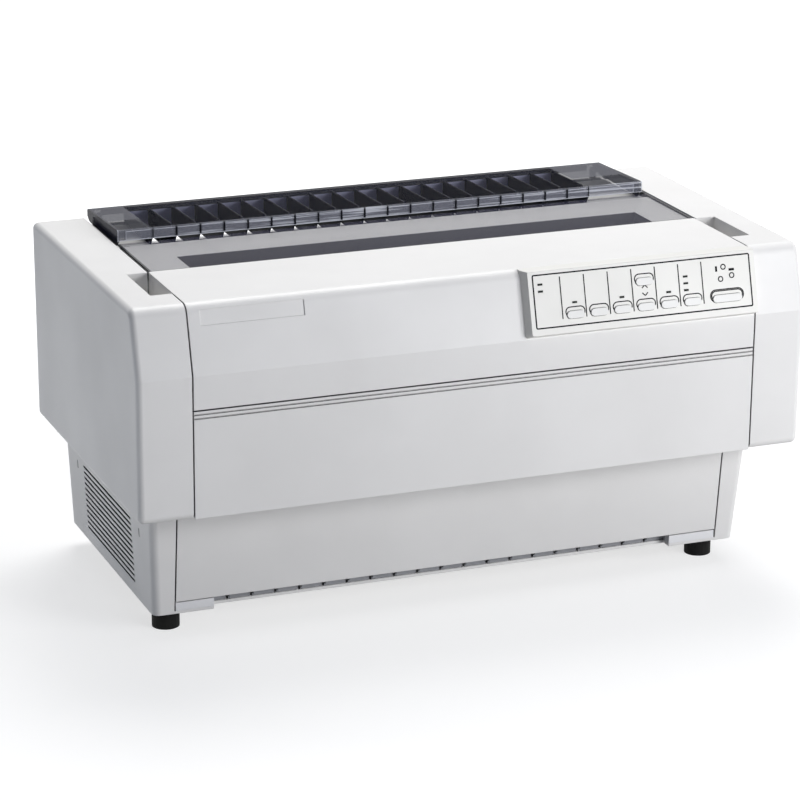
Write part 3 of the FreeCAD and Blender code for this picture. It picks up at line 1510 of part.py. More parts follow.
def fan_rotor():
    """Fan rotor: hub and pitched blades on the frame's pin."""
    z = chassis_top_z + fan_size / 2
    x = (fan_x - fan_thickness + seam, fan_x - fan_strut_thickness - seam / 2)
    pitch = math.radians(fan_blade_angle)
    chord = (x[1] - x[0] - fan_blade_thickness * math.sin(pitch)) / math.cos(pitch)
    middle = (x[0] + x[1]) / 2
    pieces = [extrude_x(faceted(fan_hub_radius, fan_y, z, fan_hub_sides), x)]
    tip = math.sqrt(fan_blade_radius ** 2 - (chord * math.sin(pitch) / 2 + fan_blade_thickness) ** 2)
    for i in range(fan_blade_count):
        blade = box(middle_span(middle, chord), middle_span(fan_y, fan_blade_thickness),
                    (z + fan_hub_radius - seam, z + tip))
        blade.rotate(V(middle, fan_y, z), V(0, 0, 1), fan_blade_angle)
        blade.rotate(V(middle, fan_y, z), V(1, 0, 0), 360.0 / fan_blade_count * i)
        pieces.append(blade)
    socket_x = (fan_x - fan_strut_thickness - fan_thickness / 2 - seam, fan_x)
    return cut(join(pieces), [rod_x(fan_pin_radius + shaft_clearance, socket_x, fan_y, z)])


def ac_inlet():
    """Mains inlet with a flange behind the wall and three blade contacts."""
    x = middle_span(inlet_x, inlet_width)
    z = middle_span(socket_z, inlet_height)
    y = (back_y - inlet_body_depth, back_y)
    flange = box(widened(x, inlet_flange), (back_y - wall - port_shell, back_y - wall),
                 widened(z, inlet_flange))
    cavity = box(widened(x, -port_shell), (y[0] + wall, y[1] + overrun), widened(z, -port_shell))
    pins = [box(middle_span(inlet_x + inlet_pin_spread * i, inlet_pin_width),
                (y[0] + wall / 2, y[1] - wall),
                middle_span(socket_z, inlet_pin_height)) for i in (-1, 0, 1)]
    return join([cut(join([box(x, y, z), flange]), [cavity])] + pins)


def power_switch():
    """Rocker of the power switch, tipped to its off side."""
    half = switch_height / 2
    face_y = back_y - switch_sink
    root_y = back_y - switch_depth
    rocker = extrude_x([
        (root_y, socket_z - half / 2, seam), (face_y - wall, socket_z - half, seam / 2),
        (face_y, socket_z - half, seam / 2), (face_y - seam, socket_z, 0),
        (face_y, socket_z + half, seam / 2), (face_y - wall, socket_z + half, seam / 2),
        (root_y, socket_z + half / 2, seam)], middle_span(switch_x, switch_width))
    rocker.rotate(V(0, back_y - wall, socket_z), V(1, 0, 0), -switch_tilt)
    return rocker


def port(middle_x, length, tall):
    """Multi-way socket with a raised shell through the back wall."""
    x = middle_span(middle_x, length)
    y = (back_y - wall - port_depth, back_y)
    z = middle_span(socket_z, tall)
    cavity = box(widened(x, -port_shell), (y[0] + wall, y[1] + overrun), widened(z, -port_shell))
    tongue = box(widened(x, -port_tongue_inset), (y[0] + wall / 2, y[1] - port_shell),
                 middle_span(socket_z, port_shell * 2))
    return join([cut(box(x, y, z), [cavity]), tongue])


def interface_ports():
    return Part.makeCompound([port(parallel_x, parallel_length, parallel_height),
                              port(serial_x, serial_length, serial_height)])


nodes = {
    "base_housing": base_housing(),
    "rubber_feet": rubber_feet(),
    "lower_front_panel": lower_front_panel(),
    "lower_paper_guide": lower_paper_guide(),
    "left_side_cover": side_cover(),
    "right_side_cover": mirrored(side_cover()),
    "rear_housing": rear_housing(),
    "chassis_plate": chassis_plate(),
    "left_side_frame": side_frame(),
    "right_side_frame": mirrored(side_frame()),
    "rear_paper_guide": rear_paper_guide(),
    "front_paper_guide": front_paper_guide(),
    "carriage_guide_shaft": carriage_guide_shaft(),
    "tractor_rods": tractor_rods(),
    "carriage_motor": carriage_motor(),
    "carriage_belt": carriage_belt(),
    "feed_motor": feed_motor(),
    "feed_belts": feed_belts(),
    "ribbon_cartridge": ribbon_cartridge(),
    "ink_ribbon": ink_ribbon(),
    "power_supply": power_supply(),
    "main_board": main_board(),
    "fan_frame": fan_frame(),
    "fan_rotor": fan_rotor(),
    "ac_inlet": ac_inlet(),
    "power_switch": power_switch(),
    "interface_ports": interface_ports(),
    "front_door": front_door(),
    "front_cover": front_cover(),
    "smoke_plate": smoke_plate(),
    "control_panel": control_panel(),
    "panel_board": panel_board(),
    "status_lights": status_lights(),
    "rear_cover": rear_cover(),
    "cover_fins": cover_fins(),
    "carriage": carriage(),
    "print_head": print_head(),
    "drive_pulley": carriage_pulley(1),
    "idler_pulley": carriage_pulley(-1),
    "platen_roller": platen_roller(),
    "platen_shaft": platen_shaft(),
    "platen_gear": platen_gear(),
    "feed_pinion": feed_pinion(),
    "front_tractor_shaft": tractor_shaft(front_tractor_y, front_tractor_z, front_pulley_x),
    "rear_tractor_shaft": tractor_shaft(rear_tractor_y, rear_tractor_z, rear_pulley_x),
}
for side, word in ((-1, "left"), (1, "right")):
    nodes["front_" + word + "_tractor"] = place_tractor(tractor_unit(True), side, False)
    nodes["front_" + word + "_lid"] = place_tractor(tractor_lid(), side, False)
    nodes["rear_" + word + "_tractor"] = place_tractor(tractor_unit(False), side, True)
for number, place in enumerate(button_places(), 1):
    nodes["panel_button_%d" % number] = button(place)

os.makedirs("parts", exist_ok=True)
for name, shape in nodes.items():
    solids = shape.Solids
    if not solids or not all(solid.isValid() and solid.isClosed() for solid in solids):
        print("check", name, len(solids), "solids")
    shape.exportStep("parts/" + name + ".step")
print(len(nodes), "nodes")
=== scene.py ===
import math

import bpy
from mathutils import Matrix, Vector


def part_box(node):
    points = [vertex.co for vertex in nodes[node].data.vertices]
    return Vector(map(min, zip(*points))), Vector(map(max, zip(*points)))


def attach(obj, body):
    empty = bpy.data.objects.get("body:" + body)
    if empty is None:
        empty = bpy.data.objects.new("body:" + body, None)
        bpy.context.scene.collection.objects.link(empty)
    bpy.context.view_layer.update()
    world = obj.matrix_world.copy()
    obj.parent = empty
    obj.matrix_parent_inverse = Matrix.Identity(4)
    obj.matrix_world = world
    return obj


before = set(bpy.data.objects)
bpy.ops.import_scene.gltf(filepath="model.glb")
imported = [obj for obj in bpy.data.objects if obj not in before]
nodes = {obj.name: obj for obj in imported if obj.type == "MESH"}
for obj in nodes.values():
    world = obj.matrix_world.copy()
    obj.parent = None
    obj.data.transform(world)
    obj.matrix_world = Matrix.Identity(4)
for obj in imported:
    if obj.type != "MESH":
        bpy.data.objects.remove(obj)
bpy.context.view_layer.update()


# Case mouldings
# The outer case is injection moulded in a warm off-white plastic with a fine sparked texture.
# Its shells meet at narrow seams, and their edges are softly rounded in the mould. An occlusion
# mask paints shade into the seams and crevices of every moulding.
case_ivory = (0.81, 0.80, 0.785, 1)
case_shade = (0.775, 0.765, 0.75, 1)
case_roughness = 0.46
case_grain = 1500.0
case_grain_depth = 0.00005
case_edge = 0.0009
small_edge = 0.0008
grain_detail = 2.0
edge_samples = 4
mottle_scale = 9.0
soft_detail = 3.0
mottle_low = 0.35
mottle_high = 0.65
gloss_drift = 0.04
# Reach and limits of the occlusion mask that paints shade into seams and crevices.
seam_reach = 0.004
seam_samples = 8
seam_shut = 0.22
seam_open = 0.50
painted_crevice_shade = (0.018, 0.018, 0.02, 1)

sheet_low, sheet_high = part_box("smoke_plate")
seat_margin = 0.001
seat_depth = 0.0004
sheet_front = sheet_low[1] - seat_margin
sheet_under = sheet_low[2] - seat_depth
sheet_half = sheet_high[0]

base_low, base_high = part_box("base_housing")
base_rise = 0.123
side_draft = 0.006
side_lean = side_draft / base_rise
side_face = base_high[0] - side_lean * base_high[2]
side_skin = 0.0003
side_wall = 0.0029
front_room = 0.022
back_room = 0.020
painted_slot_shade = (0.004, 0.004, 0.006, 1)


def feed(tree, taken, value):
    """Link an input to an output socket, or set it to a constant."""
    if isinstance(value, bpy.types.NodeSocket):
        tree.links.new(value, taken)
    else:
        taken.default_value = value


def add_node(tree, kind, *sources, **values):
    """Node in a tree. Sources feed its first inputs in order, and values set its options and its
    other inputs by name."""
    node = tree.nodes.new(kind)
    for name, value in values.items():
        if hasattr(node, name):
            setattr(node, name, value)
        else:
            feed(tree, node.inputs[name.replace("_", " ")], value)
    for i, source in enumerate(sources):
        feed(tree, node.inputs[i], source)
    return node


def object_place(tree):
    """Object coordinates, in which every pattern is laid."""
    return add_node(tree, "ShaderNodeTexCoord").outputs["Object"]


def axes(tree, place):
    """X, Y and Z of a place."""
    return add_node(tree, "ShaderNodeSeparateXYZ", place).outputs


def noise(tree, place, **values):
    return add_node(tree, "ShaderNodeTexNoise", Vector=place, **values).outputs[0]


def ranged(tree, value, **limits):
    """A value carried from one range to another."""
    return add_node(tree, "ShaderNodeMapRange", value, **limits).outputs[0]


def computed(tree, operation, *values):
    """Result of one step of arithmetic on output sockets and numbers."""
    return add_node(tree, "ShaderNodeMath", *values, operation=operation).outputs[0]


def above(tree, value, limit):
    return computed(tree, "GREATER_THAN", value, limit)


def below(tree, value, limit):
    return computed(tree, "LESS_THAN", value, limit)


def both(tree, first, second):
    return computed(tree, "MULTIPLY", first, second)


def either(tree, first, second):
    return computed(tree, "MAXIMUM", first, second)


def off_middle(tree, place):
    """Distance from the printer's middle plane."""
    return computed(tree, "ABSOLUTE", axes(tree, place)["X"])


def mixed(tree, factor, low, high, kind="RGBA"):
    """Blend of two colours, each a constant or an output socket, by a factor from 0 to 1."""
    blend = add_node(tree, "ShaderNodeMix", data_type=kind, Factor=factor, A=low, B=high)
    return blend.outputs["Result"]


def new_group(name, takes, gives):
    """Node group with float inputs that have a default, and outputs of the kinds named."""
    group = bpy.data.node_groups.new(name, "ShaderNodeTree")
    for label, value in takes:
        taken = group.interface.new_socket(label, in_out="INPUT", socket_type="NodeSocketFloat")
        taken.default_value = value
    for label, kind in gives:
        group.interface.new_socket(label, in_out="OUTPUT", socket_type=kind)
    given = group.nodes.new("NodeGroupInput").outputs
    return group, given, group.nodes.new("NodeGroupOutput").inputs


def sparked_texture():
    """Fine sparked mould texture: its normal, a slow mottle, and a painted shade mask for how deep
    in a gap a point lies.
    """
    takes = [("Grain", case_grain), ("Depth", case_grain_depth), ("Edge", small_edge),
             ("Reach", seam_reach)]
    gives = [("Normal", "NodeSocketVector"), ("Mottle", "NodeSocketFloat"),
             ("CreviceShade", "NodeSocketFloat")]
    group, given, result = new_group("sparked_texture", takes, gives)
    place = object_place(group)
    grain = noise(group, place, Scale=given["Grain"], Detail=grain_detail)
    edge = add_node(group, "ShaderNodeBevel", samples=edge_samples, Radius=given["Edge"])
    bump = add_node(group, "ShaderNodeBump", Height=grain, Distance=given["Depth"],
                    Normal=edge.outputs[0])
    slow = noise(group, place, Scale=mottle_scale, Detail=soft_detail)
    around = add_node(group, "ShaderNodeAmbientOcclusion", samples=seam_samples,
                      Distance=given["Reach"])
    feed(group, result["Normal"], bump.outputs[0])
    feed(group, result["Mottle"], ranged(group, slow, From_Min=mottle_low, From_Max=mottle_high))
    feed(group, result["CreviceShade"], ranged(group, around.outputs["AO"], From_Min=seam_shut,
                                          From_Max=seam_open, To_Min=1.0, To_Max=0.0))
    return group


sparked = sparked_texture()


def new_material(name):
    """Material, with its node tree and its shader."""
    material = bpy.data.materials.new(name)
    material.use_nodes = True
    return material, material.node_tree, material.node_tree.nodes["Principled BSDF"]


def fill_shader(tree, shader, **values):
    """Give a shader's inputs, by name, a constant or an output socket each."""
    for name, value in values.items():
        feed(tree, shader.inputs[name.replace("_", " ")], value)


def sheet_shade_mask(tree, gap):
    """Painted shade mask of the cover under the smoke sheet: off on the frame that carries the
    sheet, full along the sheet's sides, where the gap is painted dark as shade, and down inside the
    window, whose walls are painted dark as shade."""
    place = object_place(tree)
    along = axes(tree, place)
    ahead = below(tree, along["Y"], sheet_front)
    behind = above(tree, along["Y"], sheet_front)
    beside = above(tree, off_middle(tree, place), sheet_half)
    sunk = below(tree, along["Z"], sheet_under)
    # Painted shade: the window walls and the strips beside the sheet are painted dark.
    return either(tree, both(tree, gap, ahead), both(tree, behind, either(tree, beside, sunk)))


def moulded_plastic(name, colour, shade, roughness, grain=case_grain, depth=case_grain_depth,
                    edge=small_edge, under_sheet=False):
    """Moulded plastic: sparked texture, a slow drift between two close colours, varied gloss."""
    material, tree, shader = new_material(name)
    skin = add_node(tree, "ShaderNodeGroup", node_tree=sparked, Grain=grain, Depth=depth, Edge=edge)
    gap = skin.outputs["CreviceShade"]
    if under_sheet:
        gap = sheet_shade_mask(tree, gap)
    tint = mixed(tree, skin.outputs["Mottle"], colour, shade)
    gloss = ranged(tree, skin.outputs["Mottle"], To_Min=roughness - gloss_drift,
                   To_Max=roughness + gloss_drift)
    # Painted shade: the colour darkens to near black in seams and crevices.
    fill_shader(tree, shader, Base_Color=mixed(tree, gap, tint, painted_crevice_shade), Roughness=gloss,
                Normal=skin.outputs["Normal"])
    return material


def lay_over(material, mask, colour):
    """Give a finish another colour where the mask is 1."""
    tree = material.node_tree
    taken = tree.nodes["Principled BSDF"].inputs["Base Color"]
    feed(tree, taken, mixed(tree, mask, taken.links[0].from_socket, colour))


def shaded_slot_walls(tree):
    """Mask of the faces cut through the base's sloping sides, painted dark as shade inside the
    slots.
    """
    place = object_place(tree)
    mirrored = add_node(tree, "ShaderNodeVectorMath", place, operation="ABSOLUTE").outputs[0]
    across = add_node(tree, "ShaderNodeVectorMath", mirrored, (1, 0, -side_lean),
                      operation="DOT_PRODUCT").outputs["Value"]
    along = axes(tree, place)["Y"]
    within = both(tree, above(tree, along, base_low[1] + front_room),
                  below(tree, along, base_high[1] - back_room))
    inside = both(tree, below(tree, across, side_face - side_skin),
                  above(tree, across, side_face - side_wall))
    return both(tree, within, inside)


def finish_nodes(material, *names):
    """Give CAD nodes their finish."""
    for name in names:
        slots = nodes[name].data.materials
        slots.clear()
        slots.append(material)


case_plastic = moulded_plastic("case_plastic", case_ivory, case_shade, case_roughness,
                               edge=case_edge)
cover_plastic = moulded_plastic("cover_plastic", case_ivory, case_shade, case_roughness,
                                edge=case_edge, under_sheet=True)
base_plastic = moulded_plastic("base_plastic", case_ivory, case_shade, case_roughness,
                               edge=case_edge)
# Painted shade: the cut walls of the side slots are painted nearly black.
lay_over(base_plastic, shaded_slot_walls(base_plastic.node_tree), painted_slot_shade)
finish_nodes(base_plastic, "base_housing")
finish_nodes(case_plastic, "lower_front_panel", "left_side_cover", "right_side_cover",
             "rear_housing", "front_door")
finish_nodes(cover_plastic, "front_cover")


# Control panel
# A separate wedge moulding screwed to the front cover. Its face carries screen printed black
# lines: a border, dividers, an outline round each button, plain arrows, rings and bars.
panel_ivory = (0.80, 0.79, 0.75, 1)
panel_shade = (0.77, 0.76, 0.72, 1)
panel_roughness = 0.42
panel_grain = 1800.0
panel_grain_depth = 0.00003
print_black = (0.006, 0.006, 0.008, 1)
ink_grain = 900.0
ink_smooth = 0.70
ink_rough = 0.85
ink_gloss = 0.1
facet_setback = 0.018
facet_rise = 0.066
foot_digits = 5
print_lift = 0.00012
border_line = 0.0014
fine_line = 0.0011
border_left = 0.0535
border_right = 0.2895
border_low = 0.0065
border_high = 0.0600
border_corner = 0.002
corner_steps = 6
corner_spare = 0.00001
divider_first = 0.0827
divider_pitch = 0.0255
divider_count = 7
divider_low = 0.0142
divider_high = 0.0560
button_numbers = range(1, 9)
button_clear = 0.0004
button_tall = 0.0075
button_flange = 0.0012
button_row = 0.0205
upper_row = 0.0455
upper_button = 7
wide_button = 8
outline_step = 0.0013
arrow_x = 0.1727
arrow_reach = 0.0042
arrow_lean = 0.75
arrow_rises = ((0.0375, -1), (0.0300, 1))
ring_radius = 0.0030
ring_places = ((0.2597, 0.0487), (0.2559, 0.0369), (0.2684, 0.0396))
bar_places = (((0.2508, 0.0445), (0.2530, 0.0499)), ((0.2655, 0.0442), (0.2715, 0.0466)))

panel_plastic = moulded_plastic("panel_plastic", panel_ivory, panel_shade, panel_roughness,
                                panel_grain, panel_grain_depth)
finish_nodes(panel_plastic, "control_panel")

panel_points = [vertex.co for vertex in nodes["control_panel"].data.vertices]
panel_foot = min(panel_points, key=lambda point: (round(point.y, foot_digits), point.z))
facet_tilt = math.atan2(facet_setback, facet_rise)
panel_seat = Matrix.Translation((0, panel_foot.y, panel_foot.z)) @ Matrix.Rotation(
    math.radians(90) - facet_tilt, 4, "X")


def deselect():
    bpy.ops.object.select_all(action="DESELECT")


def blank(name, low, high, turn=0.0):
    """Flat blank from corner low to corner high at Z 0, turned about its middle."""
    deselect()
    middle = ((low[0] + high[0]) / 2, (low[1] + high[1]) / 2, 0)
    bpy.ops.mesh.primitive_plane_add(size=1, location=middle, rotation=(0, 0, turn))
    made = bpy.context.object
    made.name = name
    made.scale = (high[0] - low[0], high[1] - low[1], 1)
    bpy.ops.object.transform_apply(location=True, rotation=True, scale=True)
    return made


def in_edit_mode(step):
    """Run one edit on the active mesh with everything selected."""
    bpy.ops.object.mode_set(mode="EDIT")
    bpy.ops.mesh.select_all(action="SELECT")
    step()
    bpy.ops.object.mode_set(mode="OBJECT")


def apply_modifier(piece, kind, **values):
    """Add a modifier to a piece, set it and apply it."""
    made = piece.modifiers.new(kind.lower(), kind)
    for name, value in values.items():
        setattr(made, name, value)
    bpy.context.view_layer.objects.active = piece
    bpy.ops.object.modifier_apply(modifier=made.name)


def join_pieces(pieces, name):
    """Join pieces into the first and name it."""
    deselect()
    for piece in pieces:
        piece.select_set(True)
    bpy.context.view_layer.objects.active = pieces[0]
    bpy.ops.object.join()
    pieces[0].name = name
    return pieces[0]


def seat(piece, matrix):
    """Move a finished piece's mesh to its place and leave the object at the origin."""
    deselect()
    piece.select_set(True)
    bpy.context.view_layer.objects.active = piece
    piece.matrix_world = matrix @ piece.matrix_world
    bpy.ops.object.transform_apply(location=True, rotation=True, scale=True)


def finish_piece(piece, material):
    """Give a piece of this script its finish."""
    piece.data.materials.clear()
    piece.data.materials.append(material)


def printed_frame(low, high, corner, line):
    """Line round a rectangle with rounded corners, inside its edges."""
    made = blank("frame", low, high)

    def corners_and_line():
        bpy.ops.mesh.bevel(offset=corner, segments=corner_steps, affect="VERTICES")
        bpy.ops.mesh.select_all(action="SELECT")
        bpy.ops.mesh.inset(thickness=line, depth=0)
        bpy.ops.mesh.delete(type="FACE")

    in_edit_mode(corners_and_line)
    return made


def round_frame(middle, rise, half, reach):
    """Fine printed line round an upright middle, with half circles as its ends."""
    return printed_frame((middle - half, rise - reach), (middle + half, rise + reach),
                         reach - corner_spare, fine_line)


def button_rise(number):
    """Height up the facet of a button's row. One button stands above the others."""
    return upper_row if number == upper_button else button_row


def button_outline(number, grow):
    """Printed line round a button, its inner edge that far outside the button's hole."""
    low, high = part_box("panel_button_%d" % number)
    middle = panel_seat.inverted() @ ((Vector(low) + Vector(high)) / 2)
    reach = button_tall / 2 + button_clear + grow + fine_line
    half = (high[0] - low[0]) / 2 - button_flange + button_clear + grow + fine_line
    return round_frame(middle.x, button_rise(number), half, reach)


def printed_ink():
    """Matt black screen printing ink."""
    material, tree, shader = new_material("print_ink")
    gloss = ranged(tree, noise(tree, object_place(tree), Scale=ink_grain), To_Min=ink_smooth,
                   To_Max=ink_rough)
    fill_shader(tree, shader, Base_Color=print_black, Specular_IOR_Level=ink_gloss, Roughness=gloss)
    return material


printed = [printed_frame((border_left, border_low), (border_right, border_high), border_corner,
                         border_line)]
for i in range(divider_count):
    middle = divider_first + divider_pitch * i
    printed.append(blank("divider", (middle - fine_line / 2, divider_low),
                         (middle + fine_line / 2, divider_high)))
for number in button_numbers:
    printed.append(button_outline(number, 0.0))
printed.append(button_outline(wide_button, outline_step))
for rise, way in arrow_rises:
    for side in (-1, 1):
        middle = arrow_x + side * arrow_reach / 2 * math.cos(arrow_lean)
        printed.append(blank("arrow", (middle - arrow_reach / 2, rise - fine_line / 2),
                             (middle + arrow_reach / 2, rise + fine_line / 2),
                             side * way * arrow_lean))
for x, rise in ring_places:
    printed.append(round_frame(x, rise, ring_radius, ring_radius))
for low, high in bar_places:
    printed.append(blank("bar", low, high))
panel_printing = join_pieces(printed, "panel_printing")
apply_modifier(panel_printing, "SOLIDIFY", thickness=print_lift, offset=1.0)
seat(panel_printing, panel_seat)
finish_piece(panel_printing, printed_ink())
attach(panel_printing, "front_cover")


# Push buttons
# Each button is a rounded bar moulded in the panel's plastic, a touch darker, with a satin top.
# Its flange keeps it behind the panel face, and a narrow dark gap runs round it.
button_ivory = (0.76, 0.755, 0.735, 1)
button_shade = (0.73, 0.725, 0.705, 1)
button_roughness = 0.38
button_grain = 2400.0
button_grain_depth = 0.00002
button_edge = 0.0006
button_plastic = moulded_plastic("button_plastic", button_ivory, button_shade, button_roughness,
                                 button_grain, button_grain_depth, button_edge)
finish_nodes(button_plastic, *["panel_button_%d" % number for number in button_numbers])


# Status lights
# Short light pipes moulded in dark tinted plastic, nearly black while unlit. They stand in the
# control panel, flush with its face, and have fine ridges that spread the light.
light_green = (0.005, 0.009, 0.006, 1)
light_roughness = 0.35
light_gloss = 0.2
ridge_scale = 900.0
ridge_depth = 0.00005


def bumped(tree, height, depth):
    """Normal of a surface whose height follows a value."""
    return add_node(tree, "ShaderNodeBump", Height=height, Distance=depth).outputs[0]


def light_pipe():
    """Dark green plastic with fine ridges."""
    material, tree, shader = new_material("light_clear")
    ridges = add_node(tree, "ShaderNodeTexWave", Vector=object_place(tree), Scale=ridge_scale)
    fill_shader(tree, shader, Base_Color=light_green, Roughness=light_roughness,
                Specular_IOR_Level=light_gloss, Normal=bumped(tree, ridges.outputs[0], ridge_depth))
    return material


finish_nodes(light_pipe(), "status_lights")


# Smoke sheet and rear cover
# The window sheet is cut from thin smoke acrylic over the ivory frame. The rear cover is moulded
# clear in the same tint, and its sheet barely shows.
# # Its lip is painted pale, with streaks and edge lines of painted highlight, and its fins carry a
# painted lit face and painted glints.
smoke_tint = (0.062, 0.062, 0.110, 1)
smoke_alpha = 0.225
smoke_gloss = 0.12
smoke_wipes = (0.07, 0.10)
haze_scale = 14.0
haze_drift = 0.02
side_border = 0.0022
front_border = 0.0010
sheet_edge = 0.0012
# Painted highlight for the lip's streaks and edges.
painted_highlight = (0.80, 0.82, 0.88, 1)
# Dark for the painted shade along the sheet's border and the cover's edges, and for the dark posts
# on the lip.
shade_and_post_dark = (0.008, 0.009, 0.013, 1)
edge_alpha = 0.95
edge_turned = 0.90
edge_plain = 0.99
mask_samples = 8
wipe_scale = 6.0
wipe_detail = 4.0
wipe_stretch = (3.0, 40.0, 40.0)
# The lip is painted pale as painted sheen of the clear moulding.
painted_lip_sheen = (0.42, 0.43, 0.50, 1)
lip_back = 0.0800
lip_alpha = 0.28
streak_stretch = (10.0, 60.0, 500.0)
streak_start = 0.55
streak_full = 0.63
streak_alpha = 0.62
post_pitch = 0.0254
post_half = 0.0011
wall_tint = (0.035, 0.036, 0.055, 1)
wall_front = 0.1885
wall_alpha = 0.92
end_tint = (0.05, 0.052, 0.075, 1)
end_wall_side = 0.2880
end_alpha = 0.27
corner_alpha = 0.78
plates_back = 0.122
well_tint = (0.035, 0.037, 0.062, 1)
well_alpha = 0.06
wells_left = -0.254
wells_right = 0.2286
cover_edge = 0.0018
cover_gloss = 0.025
cover_wipes = (0.04, 0.14)
fin_dark = (0.008, 0.009, 0.015, 1)
# Painted light: the front face of the bar behind the fins is painted lit lilac grey.
fin_lit = (0.46, 0.455, 0.62, 1)
fin_glint = (0.16, 0.165, 0.21, 1)
fin_edge = 0.0005
fin_gloss = 0.006
fin_wipes = (0.18, 0.32)
fin_cloud_scale = 40.0
bar_front = 0.165
facing_front = -0.8


def edge_finder():
    """Mask of 1 along a moulding's sharp edges, from a rounded normal against the plain one."""
    group, given, result = new_group("edge_finder", [("Radius", sheet_edge)],
                                     [("Edge", "NodeSocketFloat")])
    rounded = add_node(group, "ShaderNodeBevel", samples=mask_samples, Radius=given["Radius"])
    plain = add_node(group, "ShaderNodeNewGeometry").outputs["Normal"]
    turn = add_node(group, "ShaderNodeVectorMath", rounded.outputs[0], plain,
                    operation="DOT_PRODUCT")
    feed(group, result["Edge"], ranged(group, turn.outputs["Value"], From_Min=edge_turned,
                                       From_Max=edge_plain, To_Min=1.0, To_Max=0.0))
    return group


edge_lines = edge_finder()


def edge_mask(tree, radius):
    return add_node(tree, "ShaderNodeGroup", node_tree=edge_lines, Radius=radius).outputs[0]


def stretched(tree, place, scale):
    """Place with its three axes scaled apart, so that a pattern on it is drawn out."""
    return add_node(tree, "ShaderNodeMapping", place, Scale=scale).outputs[0]


def wiped_gloss(tree, place, roughness):
    """Roughness of polished acrylic with faint wipe marks along its length."""
    wipes = noise(tree, stretched(tree, place, wipe_stretch), Scale=wipe_scale,
                  Detail=wipe_detail)
    return ranged(tree, wipes, To_Min=roughness[0], To_Max=roughness[1])


def smoke_sheet():
    """Thin smoke acrylic, with dark cut edges and a black line along its sides and front painted as
    shade of the gap round it.
    """
    material, tree, shader = new_material("smoke_sheet")
    place = object_place(tree)
    # Painted shade: a black border along the sides and front stands for the shaded gap round the
    # sheet.
    border = either(tree, above(tree, off_middle(tree, place), sheet_half - side_border),
                    below(tree, axes(tree, place)["Y"], sheet_low[1] + front_border))
    line = either(tree, border, edge_mask(tree, sheet_edge))
    haze = ranged(tree, noise(tree, place, Scale=haze_scale, Detail=soft_detail),
                  To_Min=smoke_alpha - haze_drift, To_Max=smoke_alpha + haze_drift)
    fill_shader(tree, shader, Base_Color=mixed(tree, line, smoke_tint, shade_and_post_dark),
                Alpha=either(tree, haze, line), Roughness=wiped_gloss(tree, place, smoke_wipes),
                Specular_IOR_Level=smoke_gloss)
    return material


def between(tree, factor, low, high):
    """Blend of two numbers, each a constant or an output socket, by a factor from 0 to 1."""
    return mixed(tree, factor, low, high, "FLOAT")


def clear_cover():
    """Clear smoke moulding: pale lip with painted highlight streaks and edge lines, dark posts,
    dark walls, a sheet that barely shows.
    """
    material, tree, shader = new_material("clear_cover")
    place = object_place(tree)
    along = axes(tree, place)
    lip = below(tree, along["Y"], lip_back)
    walls = either(tree, above(tree, along["Y"], wall_front),
                   above(tree, off_middle(tree, place), end_wall_side))
    over_wells = both(tree, above(tree, along["X"], wells_left),
                      below(tree, along["X"], wells_right))
    behind_plates = above(tree, along["Y"], plates_back)
    offset = computed(tree, "SUBTRACT", along["X"], wells_right)
    from_post = computed(tree, "PINGPONG", offset, post_pitch / 2)
    post = both(tree, over_wells, below(tree, from_post, post_half))
    edge = edge_mask(tree, cover_edge)
    # Painted highlight: bright streaks along the lip.
    flow = noise(tree, stretched(tree, place, streak_stretch), Scale=1.0, Detail=soft_detail)
    streak = ranged(tree, flow, From_Min=streak_start, From_Max=streak_full)

    sheet_face = mixed(tree, over_wells, end_tint, well_tint)
    lip_face = mixed(tree, post, mixed(tree, streak, painted_lip_sheen, painted_highlight), shade_and_post_dark)
    face = mixed(tree, lip, mixed(tree, walls, sheet_face, wall_tint), lip_face)
    # Painted highlight on the lip's edges, dark lines on the other edges.
    line = mixed(tree, lip, shade_and_post_dark, painted_highlight)

    ends = between(tree, behind_plates, end_alpha, corner_alpha)
    sheet = between(tree, walls, between(tree, over_wells, ends, well_alpha), wall_alpha)
    lip_solid = between(tree, post, between(tree, streak, lip_alpha, streak_alpha), edge_alpha)
    fill_shader(tree, shader, Base_Color=mixed(tree, edge, face, line),
                Alpha=between(tree, edge, between(tree, lip, sheet, lip_solid), edge_alpha),
                Roughness=wiped_gloss(tree, place, cover_wipes), Specular_IOR_Level=cover_gloss)
    return material


def tinted_fins():
    """Fins in the same tint: nearly black on their sides, the bar at their back painted lit lilac
    grey, and painted glints along their edges.
    """
    material, tree, shader = new_material("tinted_fins")
    coordinates = add_node(tree, "ShaderNodeTexCoord").outputs
    place = coordinates["Object"]
    # Painted light: faces turned to the front on the bar take the lit colour.
    bar = both(tree, below(tree, axes(tree, coordinates["Normal"])["Y"], facing_front),
               above(tree, axes(tree, place)["Y"], bar_front))
    cloud = noise(tree, place, Scale=fin_cloud_scale, Detail=soft_detail)
    # Painted glints along the fins' edges.
    glint = both(tree, edge_mask(tree, fin_edge), cloud)
    faces = mixed(tree, bar, fin_dark, fin_lit)
    fill_shader(tree, shader, Base_Color=mixed(tree, glint, faces, fin_glint),
                Roughness=wiped_gloss(tree, place, fin_wipes), Specular_IOR_Level=fin_gloss)
    return material


finish_nodes(smoke_sheet(), "smoke_plate")
finish_nodes(clear_cover(), "rear_cover")
finish_nodes(tinted_fins(), "cover_fins")


